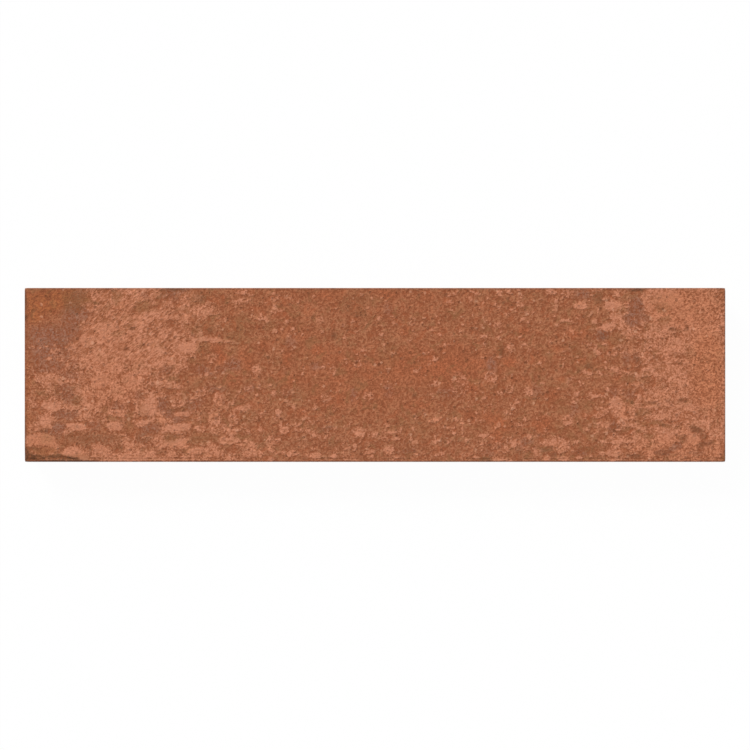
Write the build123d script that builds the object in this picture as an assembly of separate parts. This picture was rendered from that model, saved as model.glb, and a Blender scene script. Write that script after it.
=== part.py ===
"""Handmade terracotta strip tile: one piece of fired clay, hand pressed in a wooden mould.

The tile lies face up. +X runs along its length, +Y across its width and +Z out of its face.
The origin is the middle of its back. All sizes are in millimetres.

The face is struck off by hand, so it is a little hollow and rises towards both ends and the
front edge. At the front left corner the clay was slack and never filled the mould, so the face
falls away from a crease there. The sides lean in towards the back, so that the tile leaves its
mould and its joints are tightest at the face. Four grooves drawn along the back key it into its
bedding.
"""

import os
from math import atan2, cos, degrees, hypot, pi, radians, sin, tan

from build123d import *

# Size of the fired tile, measured at its face.
tile_length = 300.0
tile_width = 74.5
tile_thickness = 20.0

# Sides and edges, as the mould and the maker's fingers leave them.
side_draft_angle = 2.0
corner_radius = 0.6
face_edge_radius = 0.5
back_edge_chamfer = 0.4

# Hollow of the struck face, and the slow ripple that the strike leaves along it.
hollow_depth = 0.45
hollow_shift_to_rear = 0.12
hollow_share_across = 0.8
ripple_height = 0.06
ripple_length = 84.0
ripple_skew_angle = 24.0

# Slack corner: how far its crease runs from the corner along both edges, and how far it drops.
slack_length = 28.0
slack_width = 5.6
slack_drop = 0.6

# Keying grooves on the back, drawn with a round loop tool.
groove_count = 4
groove_tool_radius = 3.0
groove_depth = 1.5
groove_side_margin = 13.0
groove_end_margin = 15.0

# Clay heaped above the face before it is struck off.
overfill = 3.0

# Grid of points that carries the face's shape, and how far its surface runs past the outline.
face_points_along = 25
face_points_across = 9
face_overrun = 4.0


def face_height(x, y):
    """Height of the face: the hollow is a cosine dish, and the ripple a skewed sine wave."""
    along = cos(pi * x / (tile_length + 2 * face_overrun))
    place_across = y / (tile_width + 2 * face_overrun) - hollow_shift_to_rear
    across = cos(pi * hollow_share_across * place_across)
    skew = radians(ripple_skew_angle)
    phase = 2 * pi * (x * cos(skew) + y * sin(skew)) / ripple_length
    ripple = ripple_height * (0.5 - 0.5 * sin(phase))
    return tile_thickness - hollow_depth * along**2 * across**2 - ripple * along


def struck_face():
    """Smooth surface through the face's heights, a little larger than the tile."""
    half_length = tile_length / 2 + face_overrun
    half_width = tile_width / 2 + face_overrun
    rows = []
    for i in range(face_points_along):
        x = half_length * (2 * i / (face_points_along - 1) - 1)
        row = []
        for j in range(face_points_across):
            y = half_width * (2 * j / (face_points_across - 1) - 1)
            row.append(Vector(x, y, face_height(x, y)))
        rows.append(row)
    return Face.make_surface_from_array_of_points(rows, tol=0.005)


def outline_at(height):
    """Outline of the leaning sides at a height above the back."""
    inset = (tile_thickness - height) * tan(radians(side_draft_angle))
    outline = RectangleRounded(tile_length - 2 * inset, tile_width - 2 * inset, corner_radius)
    return Pos(0, 0, height) * outline


def overfilled_block():
    """The clay in its mould, heaped above the face before it is struck off."""
    return loft([outline_at(0), outline_at(tile_thickness + overfill)], ruled=True)


def slack_waste():
    """What the slack corner lacks: all that stands over a plane tilted about the crease."""
    crease_length = hypot(slack_length, slack_width)
    reach = slack_length * slack_width / crease_length
    turn = -degrees(atan2(slack_width, slack_length))
    tilt = degrees(atan2(slack_drop, reach))
    over_plane = (Align.CENTER, Align.MAX, Align.MIN)
    waste = Box(crease_length + 4 * overfill, reach + 2 * overfill, 2 * overfill, align=over_plane)
    middle = Pos((slack_length - tile_length) / 2, (slack_width - tile_width) / 2, tile_thickness)
    return middle * Rot(0, 0, turn) * Rot(tilt, 0, 0) * waste


def keying_grooves():
    """Round-bottomed grooves along the back, each with the round ends that the tool leaves."""
    span = tile_width - 2 * groove_side_margin
    pitch = span / (groove_count - 1)
    run = tile_length - 2 * groove_end_margin - 2 * groove_tool_radius
    tool_height = groove_depth - groove_tool_radius
    grooves = []
    for i in range(groove_count):
        y = i * pitch - span / 2
        grooves.append(Pos(0, y, tool_height) * Rot(0, 90, 0) * Cylinder(groove_tool_radius, run))
        for end in (-1, 1):
            grooves.append(Pos(end * run / 2, y, tool_height) * Sphere(groove_tool_radius))
    return grooves


def clay_tile():
    """The whole tile: block, struck face, eased edges, slack corner and keyed back."""
    face_waste = extrude(struck_face(), amount=2 * overfill, dir=(0, 0, 1))
    tile = overfilled_block() - face_waste
    face_rim = tile.faces().sort_by(Axis.Z)[-1].edges()
    tile = fillet(face_rim, face_edge_radius)
    back_rim = tile.faces().sort_by(Axis.Z)[0].edges()
    tile = chamfer(back_rim, back_edge_chamfer)
    return tile - slack_waste() - keying_grooves()


os.makedirs("parts", exist_ok=True)
export_step(clay_tile(), "parts/clay_tile.step")
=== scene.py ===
"""Handmade terracotta strip tile, hand pressed, struck off, brushed with slip and fired.

The tile lies face up on the floor, its back at z = 0, its length along X. Shapes are worked out
in millimetres and put into the mesh in metres.
"""

from functools import partial
from math import cos, pi, radians, sin, tan

import bpy
import numpy as np
from bpy.props import FloatProperty, FloatVectorProperty, IntProperty, PointerProperty
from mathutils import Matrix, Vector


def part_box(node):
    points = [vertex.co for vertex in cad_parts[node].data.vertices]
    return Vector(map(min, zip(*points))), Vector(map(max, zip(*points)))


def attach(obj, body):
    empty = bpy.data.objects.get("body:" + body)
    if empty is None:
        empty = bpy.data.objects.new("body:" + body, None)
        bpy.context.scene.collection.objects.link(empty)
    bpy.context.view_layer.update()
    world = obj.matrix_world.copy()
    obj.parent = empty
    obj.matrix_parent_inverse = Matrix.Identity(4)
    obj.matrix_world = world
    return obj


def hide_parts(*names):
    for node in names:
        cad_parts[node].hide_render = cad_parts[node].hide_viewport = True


bl_info = {
    "name": "Handmade Terracotta Tile",
    "version": (1, 0, 0),
    "blender": (4, 5, 0),
    "location": "View3D > Sidebar > Tile",
    "description": "Builds a hand-pressed terracotta strip tile with its slip, sand and keyed back",
    "category": "Add Mesh",
}

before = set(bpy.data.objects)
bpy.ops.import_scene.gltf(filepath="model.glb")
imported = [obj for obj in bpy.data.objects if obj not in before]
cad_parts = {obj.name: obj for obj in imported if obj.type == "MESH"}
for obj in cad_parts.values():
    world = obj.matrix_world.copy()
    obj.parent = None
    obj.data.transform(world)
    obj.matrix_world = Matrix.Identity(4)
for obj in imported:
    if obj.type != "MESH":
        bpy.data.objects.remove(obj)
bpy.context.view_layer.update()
tile_low, tile_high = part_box("clay_tile")

MM = 0.001
TILE_BODY = "root"
TILE_NODE = "clay_tile"

# The tile in the photograph, whose frame is 750 pixels wide.
PHOTO_WIDTH_PX = 750
PHOTO_TILE_LENGTH_PX = 700.9
PHOTO_TILE_CENTRE_X_PX = 375.0
PHOTO_TILE_CENTRE_Y_PX = 374.93

# Cells of the face's grid along and across the tile. The back has half as many each way, with a
# set number of them across each groove.
FACE_CELLS_X = 500
FACE_CELLS_Y = 124
GROOVE_CELLS = 10

# Fine cells at both ends of the face's grid lines: how many, and their size in millimetres.
EDGE_CELLS = 12
EDGE_CELL = 0.25

# Rows of the mesh down the arris and the side, and the share of the side that is fine.
ARRIS_ROWS = 5
UPPER_ROWS = 5
LOWER_ROWS = 12
UPPER_SHARE = 0.25

# Corners of the mesh: the arris fans out round them from this many millimetres before each, and
# at the foot of the side they are drawn in by this share of the half size.
CORNER_FAN = 0.7
CORNER_EASE = 0.002

# The chamfer is rounded by a ring this share of it down, which is in by this share of its drop.
FOOT_DROP = 0.4
FOOT_INSET = 0.45

# The struck face, as the frame has it: how far its cosines run past the tile in millimetres, how
# far the hollow is shifted and stretched across, and the ripple's skew in degrees.
FACE_OVERRUN = 4.0
HOLLOW_SHIFT = 0.12
HOLLOW_SHARE = 0.8
RIPPLE_SKEW = 24.0

# Brush strokes: their slant in degrees, and how many times as long as wide they are.
BRUSH_SLANT = 38
BRUSH_STRETCH = 3.2

# The most slip that brushing and dabbing lay on, and the share of it that wear takes off.
SLIP_LIMIT = 0.93
WEAR = 0.82

# Patches on the face are (x, y, length, width, strength, turn): millimetres from the middle of
# the face, a share from 0 to 1, and degrees anticlockwise, left out where a patch isn't turned.
# The long lists are in parts: the left end is where x is below -50, and the right end where it
# is 50 or more.

# Broad fields of pale slip, brushed on slantwise at the left and dabbed on at the right.
SLIP_FIELDS = (
    (-107, 15, 44, 52, 0.7), (-100, 8, 62, 34, 0.6, 38), (-97, 22, 28, 30, 0.46),
    (-112, -8, 44, 22, 0.36), (-80, 14, 22, 30, 0.2), (-66, 24, 22, 24, 0.12),
    (-134, -4, 34, 18, 0.4, 10), (-141, -15, 26, 18, 0.24), (-126, 8, 12, 20, 0.3, 30),
    (-108, -18, 72, 18, 0.14), (-88, -17, 40, 26, 0.1), (-110, 0, 24, 16, 0.1), (-141, -25, 24, 8, 0.2),
    (-98, -34, 96, 8, 0.46), (-62, -24, 64, 26, 0.1), (-28, -30, 60, 16, 0.1), (20, -35, 150, 6, 0.16),
    (52, -29, 60, 16, 0.12), (-50, 32, 40, 12, 0.12), (82, 33, 26, 10, 0.2), (104, 28, 13, 20, 0.46),
    (103, -16, 16, 30, 0.36), (110, -30, 26, 12, 0.34), (106, 6, 18, 26, 0.14), (132, 15, 36, 56, 0.88),
    (132, -10, 34, 28, 0.76), (130, -28, 46, 20, 0.56), (118, 4, 26, 60, 0.3), (145, -6, 16, 60, 0.5),
    (-115, 33, 12, 8, 0.6), (128, 32, 18, 12, 0.8), (126, -5, 22, 16, 0.7), (124, 18, 28, 24, 0.7),
    (-51, -20, 10, 9, 0.2), (-94, -20, 44, 12, 0.16), (-84, -30, 52, 12, 0.2), (-113, 19, 20, 14, 0.6),
    (133, 16, 24, 50, 0.6), (-98, -31, 80, 14, 0.26), (131, 0, 24, 76, 0.48), (-48, 6, 16, 10, 0.08),
    (-113, -6, 20, 12, 0.5),
)

# Single dabs and strokes of slip that stand out.
SLIP_DABS = (
    # left end
    (-120.2, 28.7, 7, 3.5, 0.5), (-81, 29.5, 9, 2.2, 0.4, -60), (-74, 27.3, 8, 4.5, 0.6),
    (-57.5, 31.3, 7, 2.5, 0.5), (-72, 15, 15, 2.1, 0.9, -3), (-62, 13.9, 8, 1.2, 0.6, -4),
    (-113, 17, 12, 9, 0.35), (-80, 11.8, 10, 4.2, 0.7), (-82, 6, 5, 8, 0.2), (-52, 24.4, 6, 2.6, 0.3),
    (-65, 22, 8, 7, 0.2), (-140, -1.5, 13, 4.5, 0.5, -10), (-138.5, -13.5, 9, 4, 0.8, -12),
    (-123, -12, 5.5, 13, 0.5), (-117.5, -3, 8, 6, 0.7), (-96.5, -13.5, 7.5, 8, 0.7),
    (-89, -4, 13, 2.4, 0.6, -10), (-84.7, -11.5, 6.5, 5, 0.5), (-83, -16.8, 7, 2.4, 0.7),
    (-89.5, -19.5, 7, 2.6, 0.6), (-84, -22.4, 10.5, 3.8, 0.8, 10), (-74.7, -8, 4.5, 3, 0.6),
    (-67, -12, 5, 3, 0.5), (-56.3, -13.8, 8, 2.4, 0.7, 16), (-54, -5.5, 5, 2.4, 0.3),
    (-52, 0, 7, 2.4, 0.3, 5), (-141, -20, 6, 5.6, 0.8), (-128, -22, 8.4, 3.4, 1.0, -4),
    (-111.3, -22.3, 7, 4.4, 0.9), (-125, -16.5, 4, 3, 0.3), (-143, -27.6, 13, 5, 0.8, -4),
    (-148, -28, 4, 6, 0.6), (-138, -30, 7, 3, 0.7, -18), (-129.6, -33, 8, 4.8, 1.0),
    (-117, -32.5, 7.5, 4.2, 0.7), (-106, -34.4, 22, 2.6, 0.4), (-84, -31, 9, 2.4, 0.4),
    (-112, -29.5, 7, 2, 0.3), (-97, -33.2, 6, 2.5, 0.6), (-89.5, -29.8, 10, 3, 0.7, 5),
    (-83.7, -28.8, 6.5, 3.5, 0.8), (-76, -32.6, 10, 3, 0.7), (-74.7, -23, 4.5, 3.2, 0.7),
    (-68.7, -20.5, 5.5, 6.5, 0.6), (-60.5, -19, 4, 6, 0.6), (-62.7, -28.2, 10, 3.4, 0.7, -5),
    (-53.5, -29.3, 6, 2.4, 0.6, -25), (-52.5, -33.8, 10, 2.6, 0.5), (-56, -22, 4, 4, 0.3),
    (-65, -33.4, 9, 2.2, 0.4), (-118, 33.5, 7, 5, 0.5), (-81, 33.5, 9, 3.6, 0.3),
    (-116, 20.5, 12, 5, 0.6), (-123, 15, 7, 6.4, 0.7, 30), (-69, 27, 5, 4, 0.35), (-75, 21, 5, 4, 0.25),
    (-51, 3, 5, 5, 0.35), (-105, -3, 6.4, 7, 0.7), (-117, -9, 5, 5, 0.4), (-93, -3, 5, 4, 0.25),
    (-147, -14, 4, 7, 0.3), (-99.5, -20.4, 6, 3, 0.6), (-108.5, -27, 7, 3.6, 0.4),
    (-69, -33, 6, 3.6, 0.5), (-87, -33.6, 5, 3, 0.6), (-117, -20, 5, 3.4, 0.3), (-93, -28, 5, 3, 0.4),
    (-69, 8, 5, 4, 0.3), (-81, 3, 4, 4, 0.3), (-75, -15, 5, 4, 0.3), (-75, 33, 5, 4, 0.3),
    (-51, 2, 4, 5, 0.3), (-147, 2, 3.4, 5, 0.3), (-111, 33, 6, 4, 0.3), (-78, 33.4, 9, 4, 0.35),
    (-135, 8, 5, 5, 0.3), (-141, -3, 4, 5, 0.35), (-99, -21, 4, 3, 0.4), (-57, -21, 4, 4, 0.3),
    (-146, -30.4, 5, 2, 0.4),
    # middle
    (-46.5, -11.5, 3, 3, 0.5), (-49, -23.5, 3.5, 2.4, 0.6), (-39, -23.5, 4.2, 3.4, 0.7),
    (-33, -22.9, 5, 1.4, 0.5, -12), (-27.5, -20.3, 4.4, 1.7, 0.6), (-42, -18, 4, 3, 0.6, 15),
    (-43.3, -7.8, 2.8, 3.4, 0.6), (-21, -18.5, 4, 3.6, 0.3), (-17.5, -14.5, 3, 2.8, 0.4),
    (-25.8, -14.3, 3.2, 2.2, 0.6, 10), (-11.7, -21.5, 6, 2, 0.5, 42), (-6.8, -25.2, 6, 1.7, 0.8, -6),
    (-8.8, -30, 2, 7, 0.5), (7.2, -24.7, 6.6, 1.5, 0.8, 3), (-2.2, -33.1, 4.8, 2, 0.7, 12),
    (6.4, -32, 4.6, 4.4, 0.6), (-17.5, -34.5, 3, 2, 0.9), (-36.5, -33.9, 7.6, 2, 0.7),
    (-26, -34.4, 7.4, 2.5, 0.6), (-41.2, -27.3, 2.6, 3.2, 0.4), (-44.5, -32.4, 3.2, 2.6, 0.5),
    (-29.7, -29.5, 2.4, 6, 0.3), (25.7, -19.4, 6.6, 1.9, 0.6, 18), (32, -22.2, 5, 1.7, 0.5),
    (34.5, -27.4, 8, 5, 0.2), (46.4, -26, 4.6, 2, 0.8), (46.6, -28.8, 3.4, 3.2, 0.4),
    (19.5, -33.9, 6, 1.7, 0.6), (40, -34, 5, 1.6, 0.4), (17, -29.5, 2.4, 2.8, 0.5),
    (8, -27.7, 6, 3.6, 0.2), (-43, 33.5, 4.4, 3.8, 0.45, -20), (-42.8, 27.5, 4, 3.2, 0.6),
    (-23.5, 23.3, 4.6, 3.8, 0.4, 30), (-22.5, 28.8, 3.2, 2.6, 0.3), (-8.5, 18.4, 4, 2.2, 0.35),
    (15.8, 22.6, 2.8, 2.8, 0.35), (24.2, 19.7, 3, 2, 0.5, 15), (34.2, 35.1, 5.4, 1.7, 0.5, 22),
    (32.2, 31.2, 2.6, 1.8, 0.8, -20), (43.6, 34.4, 3.6, 1.9, 0.5, 15), (45.3, 29, 3.8, 1.9, 0.4, 10),
    (47.2, 23.5, 1.8, 3.4, 0.5, -15), (46.8, 16.4, 4.4, 1.5, 0.8, -6), (47, 13.3, 3.2, 1.8, 0.5),
    (-21, -11, 5, 6, 0.3), (-3, -9, 5, 4.6, 0.5), (27, -33.6, 6, 2.2, 0.5), (-39, 2.4, 4, 4, 0.3),
    (36, -5, 9, 14, 0.38), (-21, -9, 4, 5, 0.35),
    # right end
    (52.6, 21.5, 4.4, 2.8, 0.45), (58, 11.6, 3.8, 4.4, 0.6), (53.7, 7.8, 3.6, 1.7, 0.7),
    (62.3, 29.8, 3.4, 2.9, 0.7), (63, 33.5, 2.6, 2.6, 0.5), (56.8, 36, 3.2, 2.4, 0.6),
    (61.4, 36.2, 2.2, 1.8, 0.5), (75.2, 35.1, 4.8, 2.6, 0.7), (77, 28.3, 3.8, 3.8, 0.4),
    (82.4, 35, 6, 4, 0.5), (87.5, 29.5, 6.4, 2.9, 0.75), (82.6, 23, 8, 1.5, 0.8, -8),
    (87.3, 24.6, 2.8, 2.6, 0.5), (83.6, 18.9, 3.6, 1.3, 0.8, -42), (74.8, 14.9, 2.8, 3.6, 0.4),
    (94.6, 36.5, 6.4, 1.8, 0.5), (50, -1, 3.4, 3, 0.4), (53, -7.8, 4, 1.9, 0.6),
    (66, -7.4, 4.2, 2.8, 0.5, -20), (59.2, -13.4, 3.8, 2.7, 0.6), (59.7, -10.5, 2.7, 2, 0.5),
    (56.3, -16, 2.6, 2, 0.6), (64.3, -19, 1.8, 3.2, 0.5), (73, -10, 2.8, 1.3, 0.7),
    (82.5, -19.7, 3.8, 4.6, 0.5), (90.3, -17.8, 1.9, 2.4, 0.6), (96.2, -16.9, 7, 3, 0.5, 22),
    (95.6, -20.7, 6, 1.8, 0.5), (95, -9, 8, 1.5, 0.6, -8), (98.7, -5.5, 2.6, 1.8, 0.6, -20),
    (91, 0.7, 5.6, 2.1, 0.7, -8), (59.5, -29.4, 3, 4, 0.8, -25), (56.6, -32, 5, 2.2, 0.45, 50),
    (66.4, -27.2, 3, 2.8, 0.5), (69.6, -25.8, 5.4, 1.3, 0.5), (72.8, -23.8, 3, 2, 0.45),
    (74, -29, 6.6, 3.2, 0.6), (79.8, -30.2, 8, 7, 0.6), (85.7, -26, 3, 1.3, 0.4),
    (97.6, -33.4, 5, 1.8, 0.5), (69, -33.8, 2.3, 2.6, 0.5), (81, -35.9, 6, 1.6, 0.5),
    (53.6, -36, 8, 1.5, 0.5), (102, 29.3, 7.6, 4.6, 0.75), (102.6, 25.2, 4.2, 3.6, 0.6),
    (103, 35, 3.6, 4, 0.5), (98.4, 20.3, 8.6, 2, 0.6, 16), (117.7, 31, 4.6, 9, 0.5),
    (119.3, 20.5, 3.4, 7, 0.5), (102.6, 2.4, 3.6, 2.4, 0.7), (102.8, 8.6, 3, 3, 0.4),
    (105.5, -6.5, 4.5, 4, 0.4), (103.4, -14, 6.8, 9.6, 0.65, 12), (118, -13.6, 11, 1.4, 0.5, 5),
    (128.6, -17.6, 13, 3.2, 0.4, -5), (114, -27.8, 8, 5, 0.4), (124, -26.5, 9, 5.6, 0.35),
    (136.3, -27.9, 4.6, 4.6, 0.9), (144, -31, 6, 5, 0.4), (126, 32, 12, 8, 0.7),
    (103.5, -27.4, 9, 3.2, 0.55), (102.6, -33.1, 7, 3.4, 0.7), (146, -33.7, 4, 3.4, 0.4),
    (107, -19, 4, 4, 0.4), (123, -17, 4, 3, 0.3), (118, 35.4, 6, 2.6, 0.3), (134, 26.5, 8, 5.4, 0.4),
    (126, 21.5, 9, 4.6, 0.45), (99, 20.6, 4, 3.6, 0.2), (87, -9, 5, 4, 0.3),
    (129.5, -14.6, 6, 3.6, 0.4), (98.6, -21.2, 5, 3.4, 0.4), (117, -33, 6, 3.6, 0.4),
    (99.6, 20.4, 5, 4.6, 0.6), (105.6, -20, 4, 5, 0.5), (135.6, -14.6, 6, 4, 0.45), (93, -9, 5, 5, 0.4),
    (111.6, -27, 4, 4, 0.4), (134, 21, 6, 5, 0.3), (123, -32.6, 5, 3.4, 0.4), (51, -3, 4, 4, 0.3),
    (69, -33, 5, 4, 0.35),
)

# Small flecks of slip, the pale sand grains among them.
SLIP_FLECKS = (
    # left end
    (-104.4, -31, 10, 0.9, 0.8, 70), (-53, 34.5, 3, 2, 0.4), (-61, 8, 2.4, 2, 0.4),
    (-68, -8.3, 1.8, 1.6, 0.8), (-58.5, -7, 1.8, 1.6, 0.8),
    # middle
    (-49, 24, 3, 2, 0.4), (-45, -4, 2.2, 1.8, 0.8), (-44.5, -36, 2.8, 1.8, 0.8),
    (-38, -11.5, 1.8, 1.5, 0.6), (-34.8, -32.3, 3.2, 1.3, 0.6), (-30.3, -15.6, 1.5, 1.3, 0.8),
    (-32, -20.5, 1.8, 1.5, 0.7), (-29.2, -23.8, 3, 1.8, 0.4), (-26.2, -25.8, 1.7, 1.5, 1.0),
    (-24, -26.6, 3, 1.6, 0.5), (-17, -32.3, 2.4, 1.3, 0.5), (-39.8, 10.2, 1.4, 1.2, 1.0),
    (-40, 19.8, 2, 1.4, 0.7), (-35, 20, 1.8, 1.4, 0.7), (-37.2, 17, 2, 1.4, 0.7, -40),
    (-38, 33.7, 1.8, 1.3, 0.5), (-26, 33.8, 1.6, 1.4, 0.7), (-35.6, 11.5, 3, 2, 0.4, 30),
    (-19.3, 26.7, 1.5, 1.5, 0.6), (-17.1, 2.3, 2.2, 3, 0.5), (-20.3, 5, 1.3, 1.8, 0.6),
    (-13, 16, 1.5, 1.8, 0.8), (-13.7, 21.3, 1.5, 1.5, 0.6), (-12.8, 6.7, 1.7, 1.3, 0.6),
    (-5, 10.8, 2, 1.6, 0.8), (-4, 8.6, 1.6, 1.6, 0.6), (-5.8, 34.5, 1.5, 1.5, 0.9),
    (-1.9, 32.9, 2, 1.8, 0.6), (-5, 28, 1.6, 2, 0.4), (-0.3, -25.7, 3, 1.2, 0.8, 32),
    (3.8, -24.2, 1.8, 1.8, 0.5), (-1, -34.9, 2.2, 1.3, 0.7), (10.8, -24, 1.2, 2, 0.8),
    (16.3, -23, 1.5, 2.2, 0.8), (17.3, -18, 1.3, 3.4, 0.6), (25.7, -3, 1.8, 1.5, 0.9),
    (25, -4.4, 7, 1.2, 0.45), (24.3, -8, 1.8, 1.8, 0.4), (37.2, -20.5, 2.4, 1.2, 0.7, -60),
    (40.8, -20.9, 2.2, 1.2, 0.6, 12), (46, -19.4, 2.6, 1.6, 0.7), (46.7, -9.9, 2.4, 1.2, 0.8),
    (49.4, -12.8, 1.7, 1.2, 0.6), (43.5, -16.4, 1.8, 1.4, 0.5), (29, -33.4, 3, 1.2, 0.6),
    (43.5, -35.3, 3.2, 1.1, 0.8), (27.4, -28, 1.6, 1.2, 0.7), (41, -31, 2, 1.3, 0.5),
    (2.6, 17.1, 1.8, 1.3, 0.9), (2.5, 20.7, 1.8, 1.3, 0.5), (4, 13.2, 1.5, 1.3, 0.8),
    (1, 25.5, 1.8, 1.5, 0.4), (7, 25, 1.9, 1.3, 0.8), (8.3, 22, 2.3, 1.4, 0.6, -12),
    (28, 17.1, 1.5, 1.5, 1.0), (29.9, 13, 1.8, 1.9, 0.8), (31.9, 13.2, 1.7, 1.1, 0.6, 10),
    (36.5, 18.7, 3.4, 1.1, 0.5, 25), (21.2, 9, 2, 1.5, 0.7, -30), (25.6, 7.3, 3, 1.6, 0.5, -30),
    (17.2, 7.8, 1.3, 1.7, 1.0), (7.2, 8.7, 2, 1.4, 0.7, -30), (5.6, 1.2, 1.5, 1.4, 1.0),
    (5.7, 2.6, 2.4, 1.2, 0.6), (14.7, 14.6, 1.8, 1.3, 0.5), (23.3, 4.8, 1.6, 1.3, 0.6),
    (31.6, 34.8, 1.5, 3, 0.5), (41.8, 35.7, 3, 1.3, 0.5, -10), (41.5, 32.3, 2.8, 1.2, 0.4),
    (48, 32.7, 1.7, 1.7, 0.6), (46.3, 31, 1.4, 1.4, 0.6), (46.3, 25, 1.4, 1.6, 0.7),
    # right end
    (50.5, -13.8, 1.6, 1.2, 0.5), (50, -5.2, 1.5, 1.5, 0.6), (53.3, 35.3, 2.6, 1.8, 0.6),
    (53, 28.7, 1.7, 1.5, 0.8), (58.3, 28, 1.8, 1.4, 0.7), (57, 26.1, 3, 1.4, 0.5),
    (63.4, 24.2, 2.2, 1.7, 0.7), (65.6, 22.7, 1.3, 1.4, 1.0), (65.5, 26.3, 1.4, 1.4, 0.7),
    (68, 27.4, 1.8, 1.2, 0.5), (65.8, 10.2, 1.8, 2.4, 0.6), (65, 6, 1.6, 1.3, 0.5),
    (86.7, 8, 1.8, 1.4, 0.9), (94.2, 22.9, 2.6, 1.6, 0.7), (92.7, 26.8, 2, 1.4, 0.7, 20),
    (98.2, 13, 2.4, 1.8, 0.7), (94.5, 12.3, 1.8, 1.5, 0.5), (95.5, 10.6, 1.5, 1.4, 0.5),
    (98.6, 2.8, 1.5, 1.3, 0.8), (94, 7, 1.5, 1.3, 0.4), (99, 32.4, 3, 1.7, 0.6, 10),
    (102.3, 11, 2, 1.3, 0.6), (76.6, 31.5, 2, 1.7, 0.6), (70.8, -3.6, 1.4, 1.3, 0.8),
    (72.2, -3.4, 1.4, 1.3, 0.7), (78.7, -5.8, 1.5, 1.6, 0.8), (76, -13.5, 1.5, 1.5, 0.7),
    (62.2, -29.2, 2, 1.4, 0.7, -20), (86.2, -28.8, 1.8, 1.9, 0.9), (92.5, -28, 1.5, 1.6, 0.6),
    (98.2, -28.4, 3.6, 1.4, 0.7), (99, -22, 1.8, 2, 0.6), (84, -1.3, 3.6, 1.4, 0.5),
    (73.3, -36, 2.6, 1.6, 0.7), (87.3, -35.6, 2.8, 1.1, 0.7), (71.5, -32.2, 1.5, 1.2, 0.5),
    (103, -30.7, 4, 1.3, 0.6), (91.6, -30.3, 2.4, 1.3, 0.4),
    # slack corner
    (-134.8, -35.7, 3, 1.4, 0.5), (-146.8, -33, 1.3, 1.2, 0.9), (-145.9, -34.5, 1.3, 1.1, 0.9),
    (-134, -36.35, 20, 0.6, 0.6), (-125, -36, 3.6, 1.8, 0.9), (-138.6, -34, 1.8, 1, 0.5),
)

# Small rings of slip, left by burst bubbles: x, y, diameter, strength.
SLIP_RINGS = (
    (-98, -2, 5, 0.4), (-83.8, -11, 6, 0.35), (-68.6, -19, 4.4, 0.45), (-124, -33.5, 3, 0.4),
    (-52, -22, 7, 0.3), (-42, 6, 3.6, 0.45), (-18, 2, 2.6, 0.4), (-7.5, 4.7, 2.8, 0.8),
    (-9, 18, 7, 0.2), (6.8, 11.6, 5.4, 0.4), (25, 8.4, 5, 0.4), (15.8, 23, 3.2, 0.4),
    (49.6, -0.8, 4.4, 0.8), (47, -4.7, 5.6, 0.35), (57.6, -6.2, 2.8, 0.8), (65.3, -7, 3.2, 0.4),
    (85.7, -11.2, 2.2, 0.6), (82.5, -19.3, 3.4, 0.6), (122, 28.6, 4.6, 0.3),
)

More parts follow.
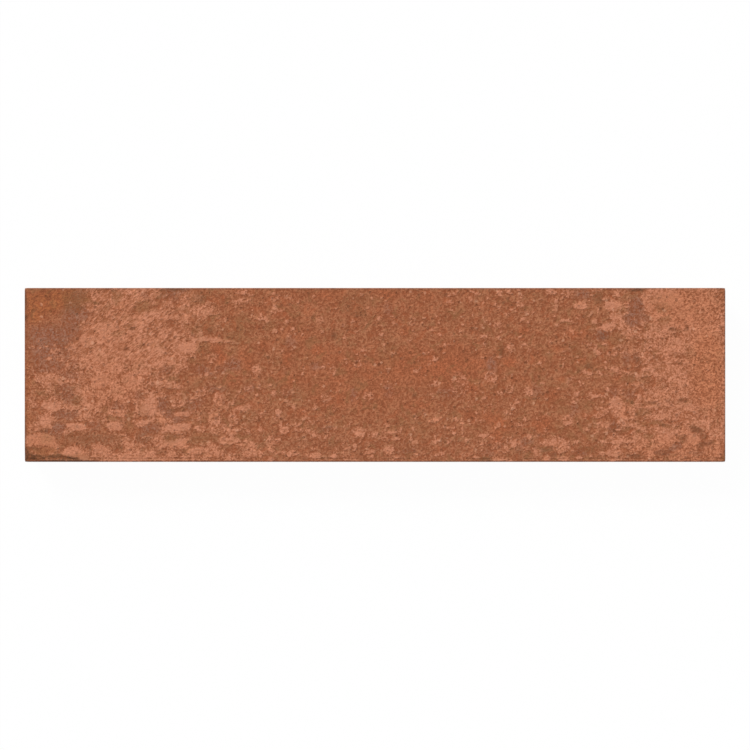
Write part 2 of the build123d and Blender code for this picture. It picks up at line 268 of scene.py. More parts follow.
# Where the slip is worn off or never reached.
BARE_PATCHES = (
    # left end
    (-144, 24, 22, 30, 1.0), (-138, 24, 20, 30, 1.0, -35), (-127.5, 25.5, 11, 9.5, 1.0),
    (-133, 18, 14, 8, 1.0), (-136, 11, 13, 10, 0.9), (-140, 5, 14, 7, 0.6), (-111, 33, 4.6, 6, 0.7),
    (-114.5, 29, 3, 3, 0.4), (-99, 29.2, 7.6, 5, 0.8), (-98, 33.4, 4, 3, 0.6),
    (-85.5, 34.5, 11, 6, 0.9), (-75, 33, 8, 5.5, 0.9), (-112, 18, 8, 2, 0.6),
    (-104, 20, 3.4, 1.8, 0.9, 20), (-106, 11.4, 3.4, 2, 0.6), (-87.5, 21.5, 5.6, 4, 0.8, 40),
    (-92, 18, 6, 2, 0.5, 40), (-82, 19, 6, 2, 0.6, 40), (-76.5, 21.5, 5, 7.5, 0.9),
    (-70, 21, 8, 7, 0.9), (-73, 11.6, 6, 4, 0.7), (-74.5, 5.5, 9, 8.5, 0.8), (-89, 2.5, 6, 5, 0.8, 20),
    (-66, 2.5, 7, 3, 0.6), (-57, 21, 4, 10, 0.7), (-61, 4.5, 8, 6, 0.7), (-86, -0.5, 12, 2, 0.7),
    (-87, -7, 9, 2.6, 0.9), (-95, -7, 6, 3, 0.6), (-81, -5, 10, 5, 0.7), (-129, 33, 9, 9, 0.8),
    (-80, 1, 6, 5, 0.5), (-96, 0, 6, 4, 0.5, 30), (-101, -8.5, 4, 5, 0.8), (-131, 0, 7, 4, 0.7, -10),
    (-132, -8.5, 8, 8.6, 0.9), (-127, -11, 5, 5, 0.8), (-132, -17, 12, 3.8, 0.9),
    (-143.4, -8, 6, 1.6, 0.7, 60), (-135.5, -22.5, 5, 5, 1.0), (-120, -21.5, 5.6, 5, 0.6),
    (-110, -13.5, 5, 4, 0.6), (-104.5, -13, 3.2, 3, 0.9), (-115.5, -15, 3.4, 3, 0.7),
    (-112, -18.8, 7, 2.2, 0.9), (-105, -19, 3.2, 8, 0.8), (-95, -24, 8, 4, 0.9),
    (-91.3, -12, 5.5, 6, 1.0), (-89, -16.3, 6, 3.6, 0.9), (-85, -19, 4, 2.4, 0.7),
    (-78, -12, 7, 5, 0.8), (-54, -17.5, 6, 5, 0.7), (-85, -26, 11, 2.4, 0.8), (-75.5, -28, 8, 5, 0.55),
    (-121, -27.6, 27, 4.8, 0.95), (-100.5, -27, 5, 5, 0.8), (-124, -31, 5, 3, 0.9),
    (-109.5, -31.3, 6.4, 2.6, 0.9), (-91, -32.9, 6, 2.4, 1.0), (-84, -32.2, 4, 2.6, 0.9),
    (-143, -32.4, 12.5, 3.2, 0.9, -5), (-149.4, -4, 3, 50, 0.7), (-82, 20, 8, 5, 0.4),
    (-83, 7, 6, 4, 0.4), (-84, -5, 15, 8, 0.6), (-97, -5, 8, 6, 0.4), (-82, -18, 10, 4, 0.6),
    (-66, -18, 10, 6, 0.5), (-68, -6, 9, 5, 0.5), (-82, 31, 10, 8, 0.4), (-68, -18.5, 1.8, 1.6, 0.8),
    (-57, -25, 6, 2.4, 0.7), (-119, 27, 12, 5, 0.6), (-87, 27, 6, 5, 0.6), (-75, 27.5, 5, 4, 0.3),
    (-81, 15, 5, 4, 0.4), (-123.5, 0, 6.4, 9, 0.5), (-99, -12, 6, 10, 0.5), (-81, -9, 6, 4.4, 0.5),
    (-63, -9, 6, 5, 0.6), (-63, -21, 5, 3.6, 0.4), (-141, -24.4, 8, 3.4, 0.6), (-87, -27, 6, 3.4, 0.6),
    (-57, -33.6, 6, 4, 0.8), (-76, -9, 5, 4.4, 0.8), (-63, -9.6, 5, 4, 0.5), (-87, -26, 5, 5, 0.8),
    (-69, -27, 5, 3.6, 0.6), (-142, -25, 6, 3, 0.5), (-123, -15, 5, 4, 0.5), (-99, -14.6, 5, 4, 0.4),
    (-87, 3, 4, 4, 0.4), (-123, -33, 5, 4, 0.5), (-57, -33, 6, 5, 0.6), (-111, 26.6, 5, 5, 0.5),
    (-75, 26.4, 5, 4, 0.5), (-105, 3, 5, 5, 0.5), (-87, -3, 5, 5, 0.6), (-75, -3, 5, 4, 0.6),
    (-99, -9.6, 5, 5, 0.5), (-81, -9.6, 5, 4, 0.6), (-105, -15, 5, 4, 0.5), (-135, -21, 5, 4, 0.5),
    (-63, -21, 5, 4.4, 0.5), (-141, -26, 6, 4, 0.6), (-99, -27, 4, 4, 0.5), (-87, -27, 5, 5, 0.6),
    (-69, -27.4, 5, 4, 0.6), (-117, -33.4, 5, 4, 0.5), (-117.7, -18.2, 8, 4, 0.5),
    (-111, -13, 9, 4, 0.7), (-121, -15, 6, 4, 0.5), (-104, -9, 6, 5, 0.5), (-121, -33.4, 7, 3, 0.5),
    (-129, 3, 5, 5, 0.5),
    # middle
    (-36, -17, 10, 4, 0.5), (-8, -31, 9, 7, 0.8), (-38, -18, 12, 8, 0.8), (-8, -32, 10, 6, 0.8),
    (-48, -30, 6, 5, 0.6), (-34.5, -26.5, 5.6, 6, 0.8), (-21, -29, 7, 2.4, 0.7),
    (-5.3, -29.6, 5, 4.4, 0.9), (-20.5, -22.5, 7, 3.2, 0.8), (-17.5, -28.5, 2.4, 3, 0.9),
    (-41.5, -31.5, 3.4, 3, 0.8), (13.7, -32.6, 7.8, 2.2, 0.9), (48.5, -33.2, 6.6, 2.8, 0.8),
    (-33, -9, 5, 4, 0.5), (-45, -27, 5, 4.4, 0.6), (-27, -9, 5, 4.4, 0.8), (-15, -32.6, 4, 4, 0.6),
    (-45, 21, 4, 4, 0.6), (-45, -33, 5, 4, 0.4), (3, -34, 5, 3, 0.4), (-15, -33, 4, 5, 0.4),
    (-45, 21.4, 5, 5, 0.7), (-27, -9.4, 6, 5, 0.8), (-15, -21, 5, 4, 0.7),
    # right end
    (98, 30.5, 7, 4, 0.8), (98, -31, 9, 3, 0.8), (128, -19.5, 9, 3, 0.5), (111, 5, 7, 6, 0.6),
    (136, -17, 14, 4, 0.4), (112, -6, 8, 6, 0.4), (95.5, 29, 9, 8, 0.5), (97, -28, 8, 4, 0.4),
    (68, -6, 3, 3, 0.4), (98, -35, 9, 3, 0.5), (54.3, 11, 2.8, 8, 0.9), (61, -26.5, 5, 3.4, 0.7),
    (65, -29, 7, 3, 0.7), (62, -32.6, 5.6, 3, 0.9), (73, -32, 6.6, 2.2, 1.0),
    (76.5, -34.3, 3.6, 1.8, 1.0), (86.6, -31.6, 4, 3, 0.7), (88, -34, 6, 2, 0.8),
    (92, -32.4, 5.4, 3.6, 0.9), (92, -25.4, 8, 5, 0.6), (88.5, 34, 6, 4, 0.8), (95, 33, 7, 6.6, 1.0),
    (92, 27.5, 3.4, 3, 0.8), (96.5, 26.6, 5, 5.6, 0.9), (97.3, 17, 6, 4.6, 1.0),
    (103.5, 15.2, 7, 8, 0.8), (110.5, 13.7, 7, 4.6, 0.7), (111.5, 29, 7, 9, 1.0), (110, 24, 7, 6, 0.9),
    (115.7, 24.7, 5, 4, 0.9), (115.7, 20.3, 3.6, 2.6, 0.9), (116.7, 18.4, 4, 2, 0.8),
    (109.5, 34.6, 8, 4.2, 0.8), (123.3, 28.5, 5.6, 4, 0.7), (123.5, 22.9, 6, 3.8, 0.7),
    (127.3, 19.6, 3.6, 2, 0.9), (129.5, 17.8, 4.6, 3.4, 0.8, -20), (133.7, 20, 1.8, 1.8, 0.9),
    (121, 13.5, 9, 3, 0.4), (121.5, 6.2, 8, 1.8, 0.9, -12), (129.5, 8, 7, 2.8, 0.7),
    (130.5, 4.7, 5, 1.6, 0.9), (111.7, 7.7, 4.5, 5, 0.8), (108, 7, 3.6, 6, 0.8),
    (101.7, -7.5, 3.6, 5, 0.9), (110, -8.7, 6, 3.4, 0.8), (110, -2, 6, 4, 0.9),
    (108.3, -11.8, 3, 2.6, 0.8), (114.3, -16, 6.4, 3.4, 0.8, 10), (118.7, -11.5, 3.6, 1.2, 0.9),
    (126, -12, 4, 2, 0.8), (131.7, -11.3, 4.6, 1.2, 0.9, 3), (119, -21, 16, 2, 0.9, -4),
    (108.5, -23.7, 4, 1.6, 0.9), (103.4, -23, 5, 4.2, 0.9), (130.5, -22.2, 4, 2.8, 0.9),
    (137.4, -23.4, 5.4, 3, 1.0, -20), (140.7, -26.2, 3.6, 3.6, 1.0), (141, -29.6, 7.4, 3.4, 1.0, 8),
    (131.8, -27.7, 4.6, 3.6, 1.0), (116.8, -26.7, 3.6, 2.6, 0.8), (128.2, -30.8, 7, 2.4, 0.9, 5),
    (123, -33.1, 8, 3.2, 1.0), (110.5, -34.5, 7.4, 1.8, 1.0), (138, -33, 6, 3, 0.6),
    (103.5, -30, 9, 2, 0.9), (94.5, -24, 8, 3, 0.6), (99.4, 33, 7, 5, 0.6), (87, 9, 5, 4, 0.5),
    (118, 9, 6, 4, 0.4), (118, -3, 9, 6, 0.8), (123, -4, 5, 5, 0.4), (120, -15, 11, 3.6, 0.4),
    (87, -21.5, 5, 5, 0.5), (146.6, -20, 5, 6, 0.4), (87, -28, 4.4, 3, 0.4), (51, -33.6, 4, 3, 0.5),
    (98.6, -33, 6, 3, 0.4), (105, 33, 6, 5, 0.8), (117, 33, 5, 4, 0.6), (93, 21, 5, 5, 0.8),
    (93, 9, 5, 5, 0.8), (123, 20, 5, 4, 0.5), (129, -17.6, 5, 3, 0.8), (93, -20.6, 5, 4.6, 0.7),
    (105.4, -33, 5, 4, 0.7), (93, -27, 4, 4, 0.6), (75, 9, 4, 4, 0.6), (81, -15, 4, 4, 0.5),
    (123, 15, 5, 4, 0.4), (51, -33, 5, 5, 0.6), (105, -33, 6, 5, 0.6), (117, -34, 5, 2.4, 0.4),
    (92.6, 22, 5, 4, 0.7), (117, 21, 5, 4, 0.5), (75, 9.4, 5, 5, 0.7), (87, 9.4, 5, 5, 0.8),
    (135, 8.6, 5, 5, 0.5), (81, -3, 5, 4, 0.6), (127, -15, 8, 4, 0.5), (147, -15, 3, 5, 0.5),
    (81, -15.4, 5, 5, 0.5), (92.6, -21, 5, 5, 0.6), (93, -27.4, 5, 4, 0.6), (105, -26, 5, 3, 0.6),
    (75, 8.6, 4, 5, 0.5), (147, -3, 3, 6, 0.5),
)

# Where flecks of slip are thick on the ground.
FLECK_FIELDS = (
    (-140, 12, 22, 16, 0.7), (48, 30, 110, 20, 0.28), (70, 12, 60, 30, 0.3), (-20, 20, 60, 22, 0.2),
    (-52, 30, 40, 16, 0.5), (-50, -12, 50, 26, 0.5), (0, -24, 110, 18, 0.5), (34.5, -27.4, 12, 8, 0.8),
    (75, -20, 70, 34, 0.6), (100, 14, 26, 30, 0.45),
)

# Where the slip was dabbed on with a nearly dry brush, round at the left and drawn out at the right.
DAPPLE_FIELDS = (
    (-104, -18, 92, 34, 0.8), (-52, -22, 60, 30, 0.9), (6, -27, 110, 18, 0.7), (78, -24, 60, 24, 0.8),
    (-62, 26, 40, 26, 0.5), (82, 28, 60, 20, 0.6), (118, 0, 60, 76, 0.8),
)

# Ash flashes from the kiln, a cool mauve grey.
ASH_FLASHES = (
    # left end
    (-127.5, 25.5, 12, 10, 0.8), (-143.5, 17.5, 13, 7, 0.6), (-139, 23, 15, 6, 0.35, 20),
    (-129, 7, 8, 16, 0.5), (-99, -27, 6, 5, 0.6), (-138, -25, 10, 5, 0.6), (-133, 18, 14, 8, 0.8, 20),
    (-139, 13, 17, 13, 0.8), (-127, 34, 6, 5, 0.6), (-140, 5, 14, 12, 0.6), (-120.2, 28.7, 7, 3.6, 0.5),
    (-98, 33.4, 4, 3, 0.6), (-114, 18, 3.4, 2.4, 0.8), (-85.5, 34.5, 11, 6, 0.8),
    (-73, 1.5, 8, 3, 0.7, -20), (-66, 2.5, 6, 3, 0.6), (-60.5, 4.5, 7, 5, 0.7), (-89, 2.5, 6, 5, 0.5),
    (-132, -8.5, 8, 9, 0.6), (-131, 0, 7, 4, 0.5), (-132, -17, 12, 4, 0.7), (-135.5, -22.5, 5, 5, 0.8),
    (-120, -21.5, 6, 6, 0.5), (-110, -13.5, 5, 4, 0.6), (-101, -8.5, 4, 5, 0.5),
    (-96, -22.8, 8, 4, 0.7), (-91.3, -12, 5.5, 6, 0.8), (-89, -16.5, 6, 4, 0.7),
    (-85, -18.8, 4, 3.4, 0.7), (-78, -12, 7, 5, 0.6), (-68, -6, 8, 4, 0.5, -10), (-54, -5.5, 5, 3, 0.5),
    (-120, -27.6, 26, 4, 0.35),
    # middle
    (-20, -31, 220, 12, 0.1), (-20.5, -22.5, 7, 3.2, 0.7), (-8.8, -8.5, 3, 6, 0.7),
    (-35, -8, 6, 4, 0.4), (5.5, -6.5, 5, 5, 0.6), (31.5, -7.5, 8, 4, 0.6), (-36, 14, 4, 6, 0.5),
    (-25, 3.5, 5, 3.4, 0.6), (5.3, 28, 3, 6, 0.5), (48.5, -33.2, 6, 2.6, 0.4),
    (13.7, -32.6, 7.5, 2, 0.7),
    # right end
    (50, 4, 4.6, 7, 0.8), (69, -7, 4, 5, 0.4, 30), (65, -29, 7, 3, 0.7), (62, -32.5, 5, 3, 0.4),
    (85.5, -14.5, 4, 4, 0.6), (83.5, -17.5, 3, 2, 0.5), (88, -33.8, 6, 2.4, 0.7), (82, 34.5, 6, 4, 0.5),
    (88.5, 34, 6, 4, 0.7), (97.3, 17, 6, 4.6, 0.8), (102.4, -22.7, 5.6, 5, 0.7), (111.5, 29, 7, 9, 0.8),
    (110, 24, 7, 6, 0.8), (115.7, 24.7, 5, 4, 0.6), (108.2, 7, 3.6, 6, 0.6), (111.7, 7.7, 4, 5, 0.4),
    (101.7, -7.5, 3.6, 5, 0.6), (110, -8.7, 6, 3.4, 0.6), (126, -12, 4, 2, 0.5),
    (128.2, -30.8, 7, 2.6, 0.7), (123, -33.1, 8, 3, 0.5), (138, -33, 6, 3, 0.4),
)

# Olive brown stains of smoke.
SMOKE_STAINS = (
    # left end
    (-132, 31.5, 3.4, 10, 0.8, 12), (-111, 33, 4.6, 6, 0.7), (-114.5, 29, 3, 3, 0.5),
    (-99, 29.2, 7, 5, 0.8), (-110, 18, 6, 2, 0.6), (-57, 21, 4, 10, 0.8), (-60, 18, 10, 13, 0.6),
    (-60, -8, 12, 6, 0.4), (-73, 11.6, 6, 4, 0.6), (-75, 33, 8, 5.4, 0.6), (-72, 21, 10, 6, 0.5),
    (-127, -11, 5, 5, 0.8), (-115.5, -15, 3.4, 3, 0.7), (-112, -18.8, 7, 2.4, 0.8),
    (-105, -19, 3.2, 8, 0.7), (-75.5, -28, 9, 6, 0.8), (-54, -17.5, 6, 5, 0.7), (-56, -22, 4, 4, 0.4),
    (-143, -32.4, 12, 3, 0.5, -5), (-121, -27.6, 30, 4.6, 0.4), (-128, 32, 8, 10, 0.8),
    (-147, -33.4, 8, 4, 0.4), (-141, -27, 6, 4, 0.8), (-87, -27, 5, 5, 0.7), (-69, -27, 5, 4, 0.6),
    (-81, -9, 5, 4, 0.7), (-75, -3, 5, 4, 0.6), (-75, 15, 5, 5, 0.4), (-57, 15, 5, 5, 0.4),
    (-99, -15, 5, 5, 0.4), (-99, -27, 5, 4, 0.5), (-134, -35.4, 24, 3, 0.8),
    # middle
    (-43.5, -3.5, 3, 5, 0.7), (-25.5, -2.5, 3.4, 3, 0.6), (-27, -22.5, 3, 3, 0.6),
    (-17.5, -28.5, 2.4, 3, 0.9), (-41.5, -31.5, 3, 3, 0.8), (-35, -12, 9, 3.4, 0.6),
    (-42, 6, 4, 4, 0.6), (-6.5, 28, 4, 5, 0.5), (6, 9, 8, 14, 0.5), (12.5, 22.8, 4.4, 2.4, 0.7),
    (46.2, 23.5, 2.6, 5, 0.6), (34, -16.8, 6, 2.6, 0.6, -10), (17, -23, 12, 14, 0.4),
    (47.5, -35.6, 6, 2.4, 0.9), (-9, -2.5, 6, 3, 0.5), (49, -5, 8, 5, 0.5), (28, 8, 4, 3, 0.4),
    (-29, 7, 4, 7, 0.5), (-8, 31, 14, 10, 0.4), (-45, 21, 5, 5, 0.7), (-33, -9, 5, 5, 0.9),
    (-15, -21, 5, 4, 0.6), (-15, 15, 5, 5, 0.6), (-39, 15, 5, 5, 0.4),
    # right end
    (54.3, 11, 3, 8, 1.0), (67.5, 33.5, 7, 3.4, 0.6), (79, 27.5, 5, 2.8, 0.5), (79, -22, 6, 4.4, 0.7),
    (56.5, -26, 3.4, 2.6, 0.6), (55, -18, 6, 3, 0.5), (73, -32, 6.6, 2.4, 1.0),
    (62, -33.2, 6, 2.6, 0.5), (90, -13, 8, 5, 0.4), (71, -12, 12, 6, 0.3), (92, 27, 4, 4, 0.6),
    (95.3, 32.6, 6.4, 6, 0.5), (91.5, 4.2, 4.4, 3.6, 0.7), (92, -32.4, 5.4, 3.6, 0.8),
    (103.5, 14.6, 7, 6, 0.6), (108.5, 33.6, 8, 2.6, 0.8), (123.3, 28.5, 6, 4.2, 0.7),
    (123.5, 22.9, 6, 3.8, 0.7), (110, -2, 6, 4, 0.8), (114.3, -16, 6.4, 3.4, 0.8, 10),
    (119, -21, 16, 2.2, 0.8, -4), (116.8, -26.7, 3.6, 2.6, 0.8), (99, 24, 4, 4, 0.4),
    (87, 9, 5, 5, 0.8), (75, 9, 5, 5, 0.7), (92.6, 21, 5, 5, 0.7), (93, 9, 5, 5, 0.7),
    (92.6, -21, 5, 5, 0.7), (92.6, -27, 5, 4, 0.7), (81, -15, 5, 4, 0.6), (81, -3, 5, 4, 0.6),
    (105, 27, 5, 4, 0.5), (117, 21, 5, 4, 0.4), (135, 9, 5, 5, 0.4), (147, 9, 3, 5, 0.4),
    (69, 3, 5, 5, 0.5), (93, 3, 5, 5, 0.5), (75, -3, 5, 4, 0.5), (87, -21, 4, 4, 0.5),
)

# Iron-rich clay that fired redder.
IRON_BLOOMS = (
    (-67, 9, 6, 9, 0.9), (-54.5, 5.5, 7, 10, 0.7), (-62, -2, 6, 7, 0.6), (-48, 12.5, 6, 5, 0.7),
    (-36, -2, 10, 6, 0.7), (-20, -8, 18, 14, 0.5), (0, -6, 24, 20, 0.4), (-32, 16, 20, 12, 0.35),
    (6, 34, 8, 5, 0.7), (22, 33.6, 6, 4, 0.4), (12.2, 18.3, 4.4, 5, 0.8), (-20, 34, 8, 4, 0.5),
    (28, 4, 44, 16, 0.7), (-18, 5, 34, 12, 0.35), (58, 4.5, 6, 5, 0.8), (70, 4.5, 6, 7, 0.5),
    (78, 11, 8, 3, 0.5), (87, 5.5, 4.4, 3.6, 0.8), (88, 18.2, 4.6, 4, 0.7), (63.7, 18.4, 4.6, 4, 0.9),
    (62, -2.5, 9, 3, 0.6), (76.5, -9, 5, 4.6, 0.7), (54, -22, 8, 7, 0.8), (72, -21, 7, 7, 0.8),
    (52, -27.5, 6, 5, 0.8), (19, -13, 12, 4, 0.6), (42, -5, 4.4, 4, 0.8), (41, -17.7, 5, 3.6, 0.6),
    (49, -18, 7, 5.4, 0.7), (-38, 6.5, 4, 5, 0.8), (-23, 11, 6, 4, 0.7), (-32, -16, 5, 3, 0.7),
    (104, 0, 4, 6, 0.6), (-20, 32, 110, 13, 0.15), (-110, -7, 26, 14, 0.5), (40, -6, 16, 8, 0.3),
)

# Ochre stain at the left rear corner, and down the left edge.
OCHRE_STAINS = (
    (-142, 29, 19, 16, 1.0), (-134, 33, 12, 8, 0.5), (-141, 20.6, 17, 5, 0.35), (-129, 33, 14, 8, 1.0),
    (-148.8, -4, 3.4, 52, 0.5), (-143, -32.4, 14, 4, 0.4),
)

# Fine buff sand at the right end, and a little of it over the left one.
BUFF_SANDS = (
    (142, 3, 15, 36, 1.0), (146, -4, 6, 40, 0.6), (132, 8, 26, 62, 0.15), (130, -32, 44, 12, 0.6),
    (134, 29, 34, 17, 0.7), (-92, -33, 116, 13, 0.2), (-112, 4, 26, 52, 0.25), (-112, -6, 24, 14, 0.3),
    (-143, -29, 14, 9, 0.6),
)

# Soot and painted shade: dark marks in the slack corner, painted shade along its crease and along the
# tile's edges, and darker hollows between the dabs of slip.
SOOT_AND_SHADE_MARKS = (
    # left end
    (-149.7, -26, 1, 16, 0.6), (-129, 31, 10, 9, 0.2), (-143, 34, 14, 5, 0.12),
    (-149.4, 24.5, 1.4, 2.4, 1.0), (-149.5, 32, 1.2, 8, 0.8), (-85, 36.8, 9, 1.2, 0.7),
    (-104, 20, 3, 1.6, 0.6, 20), (-104.5, -13, 3, 2.8, 0.2), (-106, 11.4, 2.4, 1.6, 0.6),
    (-71, 19, 4, 3, 0.4), (-75, 33, 6, 4, 0.3), (-85, -15, 12, 0.7, 0.5, -4),
    (-81, -17.9, 5, 0.9, 0.6, -20), (-68, -18.5, 1.8, 1.6, 0.8),
    # middle
    (-8, 31, 12, 9, 0.12), (-17.6, 17, 2.4, 3.4, 0.6), (16.8, -9, 2.2, 2.2, 0.5),
    (47.5, -36, 5, 1.6, 0.6),
    # right end
    (54.4, 10, 2.4, 5, 0.5), (55.4, -7, 1.3, 1.2, 1.0), (68.5, -10.2, 2.6, 0.9, 0.8, 5),
    (73, -32, 5, 1.6, 0.5), (76.5, -34.3, 3.6, 1.6, 0.7), (95.4, 33, 5, 5, 0.35),
    (112, 36.4, 6, 1.5, 0.8), (91.5, 3.6, 3, 2.4, 0.5), (97.3, 16.6, 5, 3, 0.4),
    (137.4, -23.4, 5.2, 2.8, 0.6, -20), (140.7, -26.2, 3.2, 3.2, 0.4), (141, -29.6, 7, 2.8, 0.55, 8),
    (131.8, -27.7, 4, 3, 0.4), (123, -33.1, 8, 2.6, 0.4), (110.5, -34.5, 7, 1.5, 0.6),
    (127.3, 19.6, 3.4, 1.8, 0.6), (133.7, 20, 1.6, 1.6, 0.8), (131.7, -11.3, 4.6, 1, 0.6, 3),
    (118.7, -11.5, 3.6, 1, 0.6), (130.5, 4.7, 5, 1.3, 0.4), (111.8, 7.6, 3, 4, 0.4),
    # slack corner
    (-149.4, -34.5, 2, 6.4, 1.0), (-129.9, -35.4, 6.6, 1.3, 1.0, -8), (-141.6, -35.7, 4, 0.9, 1.0),
    (-138, -35, 5, 0.8, 0.7), (-135.8, -33.7, 4.6, 0.7, 0.7, -24), (-135, -37.1, 31, 1.9, 1.0),
    (-147.6, -35.6, 3, 1.4, 0.5), (-135.8, -31.8, 1.3, 1.2, 0.7), (-134, -32.3, 1.2, 1, 0.6),
    (-146, -31.6, 6, 1.2, 0.4, -14),
)

# The crease across the front left corner, where the clay didn't fill the mould: x and y.
CREASE_X = (-150, -148, -144, -139, -136.5, -133, -130, -126.5, -122)
CREASE_Y = (-31.4, -33.6, -34.5, -34.7, -34.3, -34.7, -35.4, -36.3, -37.0)

# In millimetres: how far the slack corner drops, how far in from the front edge the strike's
# groove lies and how deep it is, and how far all relief is lowered, to stay within the solid.
SLACK_DROP = 0.55
LIP_INSET = 1.42
LIP_DEPTH = 0.14
PROUD = 0.1


def linear(hex_colour):
    """Linear colour for an sRGB hex value such as 0x9D6144."""
    parts = ((hex_colour >> shift & 0xFF) / 255 for shift in (16, 8, 0))
    return tuple(p / 12.92 if p <= 0.04045 else ((p + 0.055) / 1.055) ** 2.4 for p in parts)


def colour_property(name, description, hex_colour):
    """A colour property with its default given as an sRGB hex value."""
    return FloatVectorProperty(
        name=name, description=description, subtype="COLOR", min=0, max=1, default=linear(hex_colour)
    )


def length_property(name, description, millimetres):
    """A length property with its default given in millimetres."""
    default = millimetres * MM
    return FloatProperty(
        name=name, description=description, subtype="DISTANCE", unit="LENGTH", min=0, default=default
    )


def angle_property(name, description, degrees):
    """An angle property with its default given in degrees."""
    return FloatProperty(name=name, description=description, subtype="ANGLE", default=radians(degrees))


class TileShape(bpy.types.PropertyGroup):
    """Sizes of the pressed and struck tile."""

    arris_radius: length_property("Arris radius", "Round of the face's edge", 0.5)
    back_chamfer: length_property("Back chamfer", "Chamfer round the back", 0.4)
    side_draft: angle_property("Side draft", "Lean of the sides", 2)
    hollow_depth: length_property("Hollow depth", "How far the struck face dips", 0.45)
    ripple_height: length_property("Ripple height", "Height of the strike's ripple", 0.06)
    ripple_length: length_property("Ripple length", "Length of the strike's ripple", 84.0)
    groove_count: IntProperty(name="Grooves", description="Keying grooves on the back", min=2, default=4)
    groove_radius: length_property("Groove radius", "Radius of the loop tool", 3.0)
    groove_depth: length_property("Groove depth", "Depth of each keying groove", 1.5)
    groove_side_margin: length_property("Groove side margin", "From the side to a groove", 13.0)
    groove_end_margin: length_property("Groove end margin", "From the end to a groove", 15.0)
    sand_height: length_property("Sand height", "Roughness that the moulding sand leaves", 0.05)
    slip_thickness: length_property("Slip thickness", "How proud the slip stands", 0.07)


class TileColours(bpy.types.PropertyGroup):
    """Colours of the fired clay and of what lies on it."""

    clay_dark: colour_property("Clay, dark grain", "Darker grains of the fired body", 0x905133)
    clay_light: colour_property("Clay, light grain", "Lighter grains of the fired body", 0xB47553)
    iron: colour_property("Iron bloom", "Clay that fired redder", 0xB8643F)
    ochre: colour_property("Ochre stain", "Yellow-brown stain", 0xB46B40)
    ash: colour_property("Ash flash", "Cool mauve grey left by the kiln's ash", 0x9F705C)
    slip_deep: colour_property("Slip, thin", "Slip where it is thin", 0xA0603F)
    slip_pale: colour_property("Slip, thick", "Slip where it is thick", 0xD48E6F)
    buff: colour_property("Buff sand", "Fine buff sand at the end", 0xCF845F)
    smoke: colour_property("Smoke", "Olive brown left by the fire's smoke", 0x8E6440)
    # Dark brown for soot, and for painted shade in the pores, the crease and groove, and along the
    # edges.
    soot_and_shade: colour_property("Soot", "Dirt in pits, creases and edges", 0x55341F)
    # Painted shade along the rounded edge, where the face turns away from the light.
    edge_shade: colour_property("Rubbed edge", "Grey dirt rubbed into the edges", 0x6A4E40)
    quartz: colour_property("Quartz", "Pale sand grains", 0xDCA384)


class StageSettings(bpy.types.PropertyGroup):
    """Floor, light and camera."""

    floor_size: length_property("Floor size", "Side of the square floor", 6000.0)
    floor: colour_property("Floor", "Colour of the floor", 0xFAFAFA)
    floor_lift: FloatProperty(name="Floor lift", description="White seen in the floor", default=0.975)
    key_share: FloatProperty(name="Key share", description="Light from the key lamp", default=0.5)
    sky_share: FloatProperty(name="Sky share", description="Light from all round", default=0.5)
    key_softness: angle_property("Key softness", "Width of the key lamp", 20)
    key_tilt: angle_property("Key tilt", "Tilt of the key lamp from straight down", 48)
    key_turn: angle_property("Key turn", "Turn of the key lamp round the tile", 215)
    lens: FloatProperty(name="Lens", description="Focal length", unit="CAMERA", default=135.0)


def turned(x, y, degrees=0):
    """Coordinates along and across a line turned anticlockwise from X by so many degrees."""
    c, s = cos(radians(degrees)), sin(radians(degrees))
    return x * c + y * s, y * c - x * s


def hashed(cells, seed):
    """Repeatable number from -1 to 1 for each lattice point: a weighted sum, mixed by shifts."""
    x, y, z = (np.asarray(c).astype(np.int64).astype(np.uint64) for c in cells)
    mixed = x * np.uint64(374761393) + y * np.uint64(668265263) + z * np.uint64(2246822519)
    mixed = mixed + np.uint64(seed) * np.uint64(3266489917)
    for shift in (15, 13, 16):
        mixed = (mixed ^ (mixed >> np.uint64(shift))) * np.uint64(0x9E3779B97F4A7C15)
    return (mixed >> np.uint64(40)).astype(float) / 2**23 - 1


def lattice_noise(points, cell, seed):
    """Smooth noise, -1 to 1: random values on a cubic lattice, blended by the fade 3t² - 2t³."""
    scaled = [p / cell for p in points]
    base = [np.floor(s) for s in scaled]
    fade = [(s - b) ** 2 * (3 - 2 * (s - b)) for s, b in zip(scaled, base)]
    total = 0
    for corner in range(8):
        steps = [corner >> axis & 1 for axis in range(3)]
        weight = 1
        for step, f in zip(steps, fade):
            weight = weight * (f if step else 1 - f)
        total = total + weight * hashed([b + step for b, step in zip(base, steps)], seed)
    return total


def fractal_noise(points, cell, octaves, seed, gain=0.55):
    """Sum of lattice noises, each on a lattice of half the cell and turned by a golden angle."""
    x, y, z = points
    total, weight = 0, 1
    for octave in range(octaves):
        u, v = turned(x, y, 137.5 * octave + 31)
        u, w = turned(u, z, 57.3 * octave + 17)
        total = total + weight * lattice_noise((u, v, w), cell / 2**octave, seed + octave)
        weight *= gain
    return total


def nearest_grain(points, cell, seed):
    """Distance to the nearest of the grains strewn one to a lattice cell, and that grain's number."""
    base = [np.floor(p / cell) for p in points]
    nearest = np.full(points[0].shape, np.inf)
    number = np.zeros(points[0].shape)
    steps = (-1, 0, 1)
    for step in [(a, b, c) for a in steps for b in steps for c in steps]:
        cells = [b + s for b, s in zip(base, step)]
        place = [(c + 0.5 + 0.4 * hashed(cells, seed + axis)) * cell for axis, c in enumerate(cells)]
        gap = np.sqrt(sum((p - q) ** 2 for p, q in zip(points, place)))
        closer = gap < nearest
        number = np.where(closer, hashed(cells, seed + 3), number)
        nearest = np.where(closer, gap, nearest)
    return nearest, number


def smooth_step(low, high, value):
    """0 below low, 1 above high and 3t² - 2t³ between."""
    t = np.clip((value - low) / (high - low), 0, 1)
    return t * t * (3 - 2 * t)


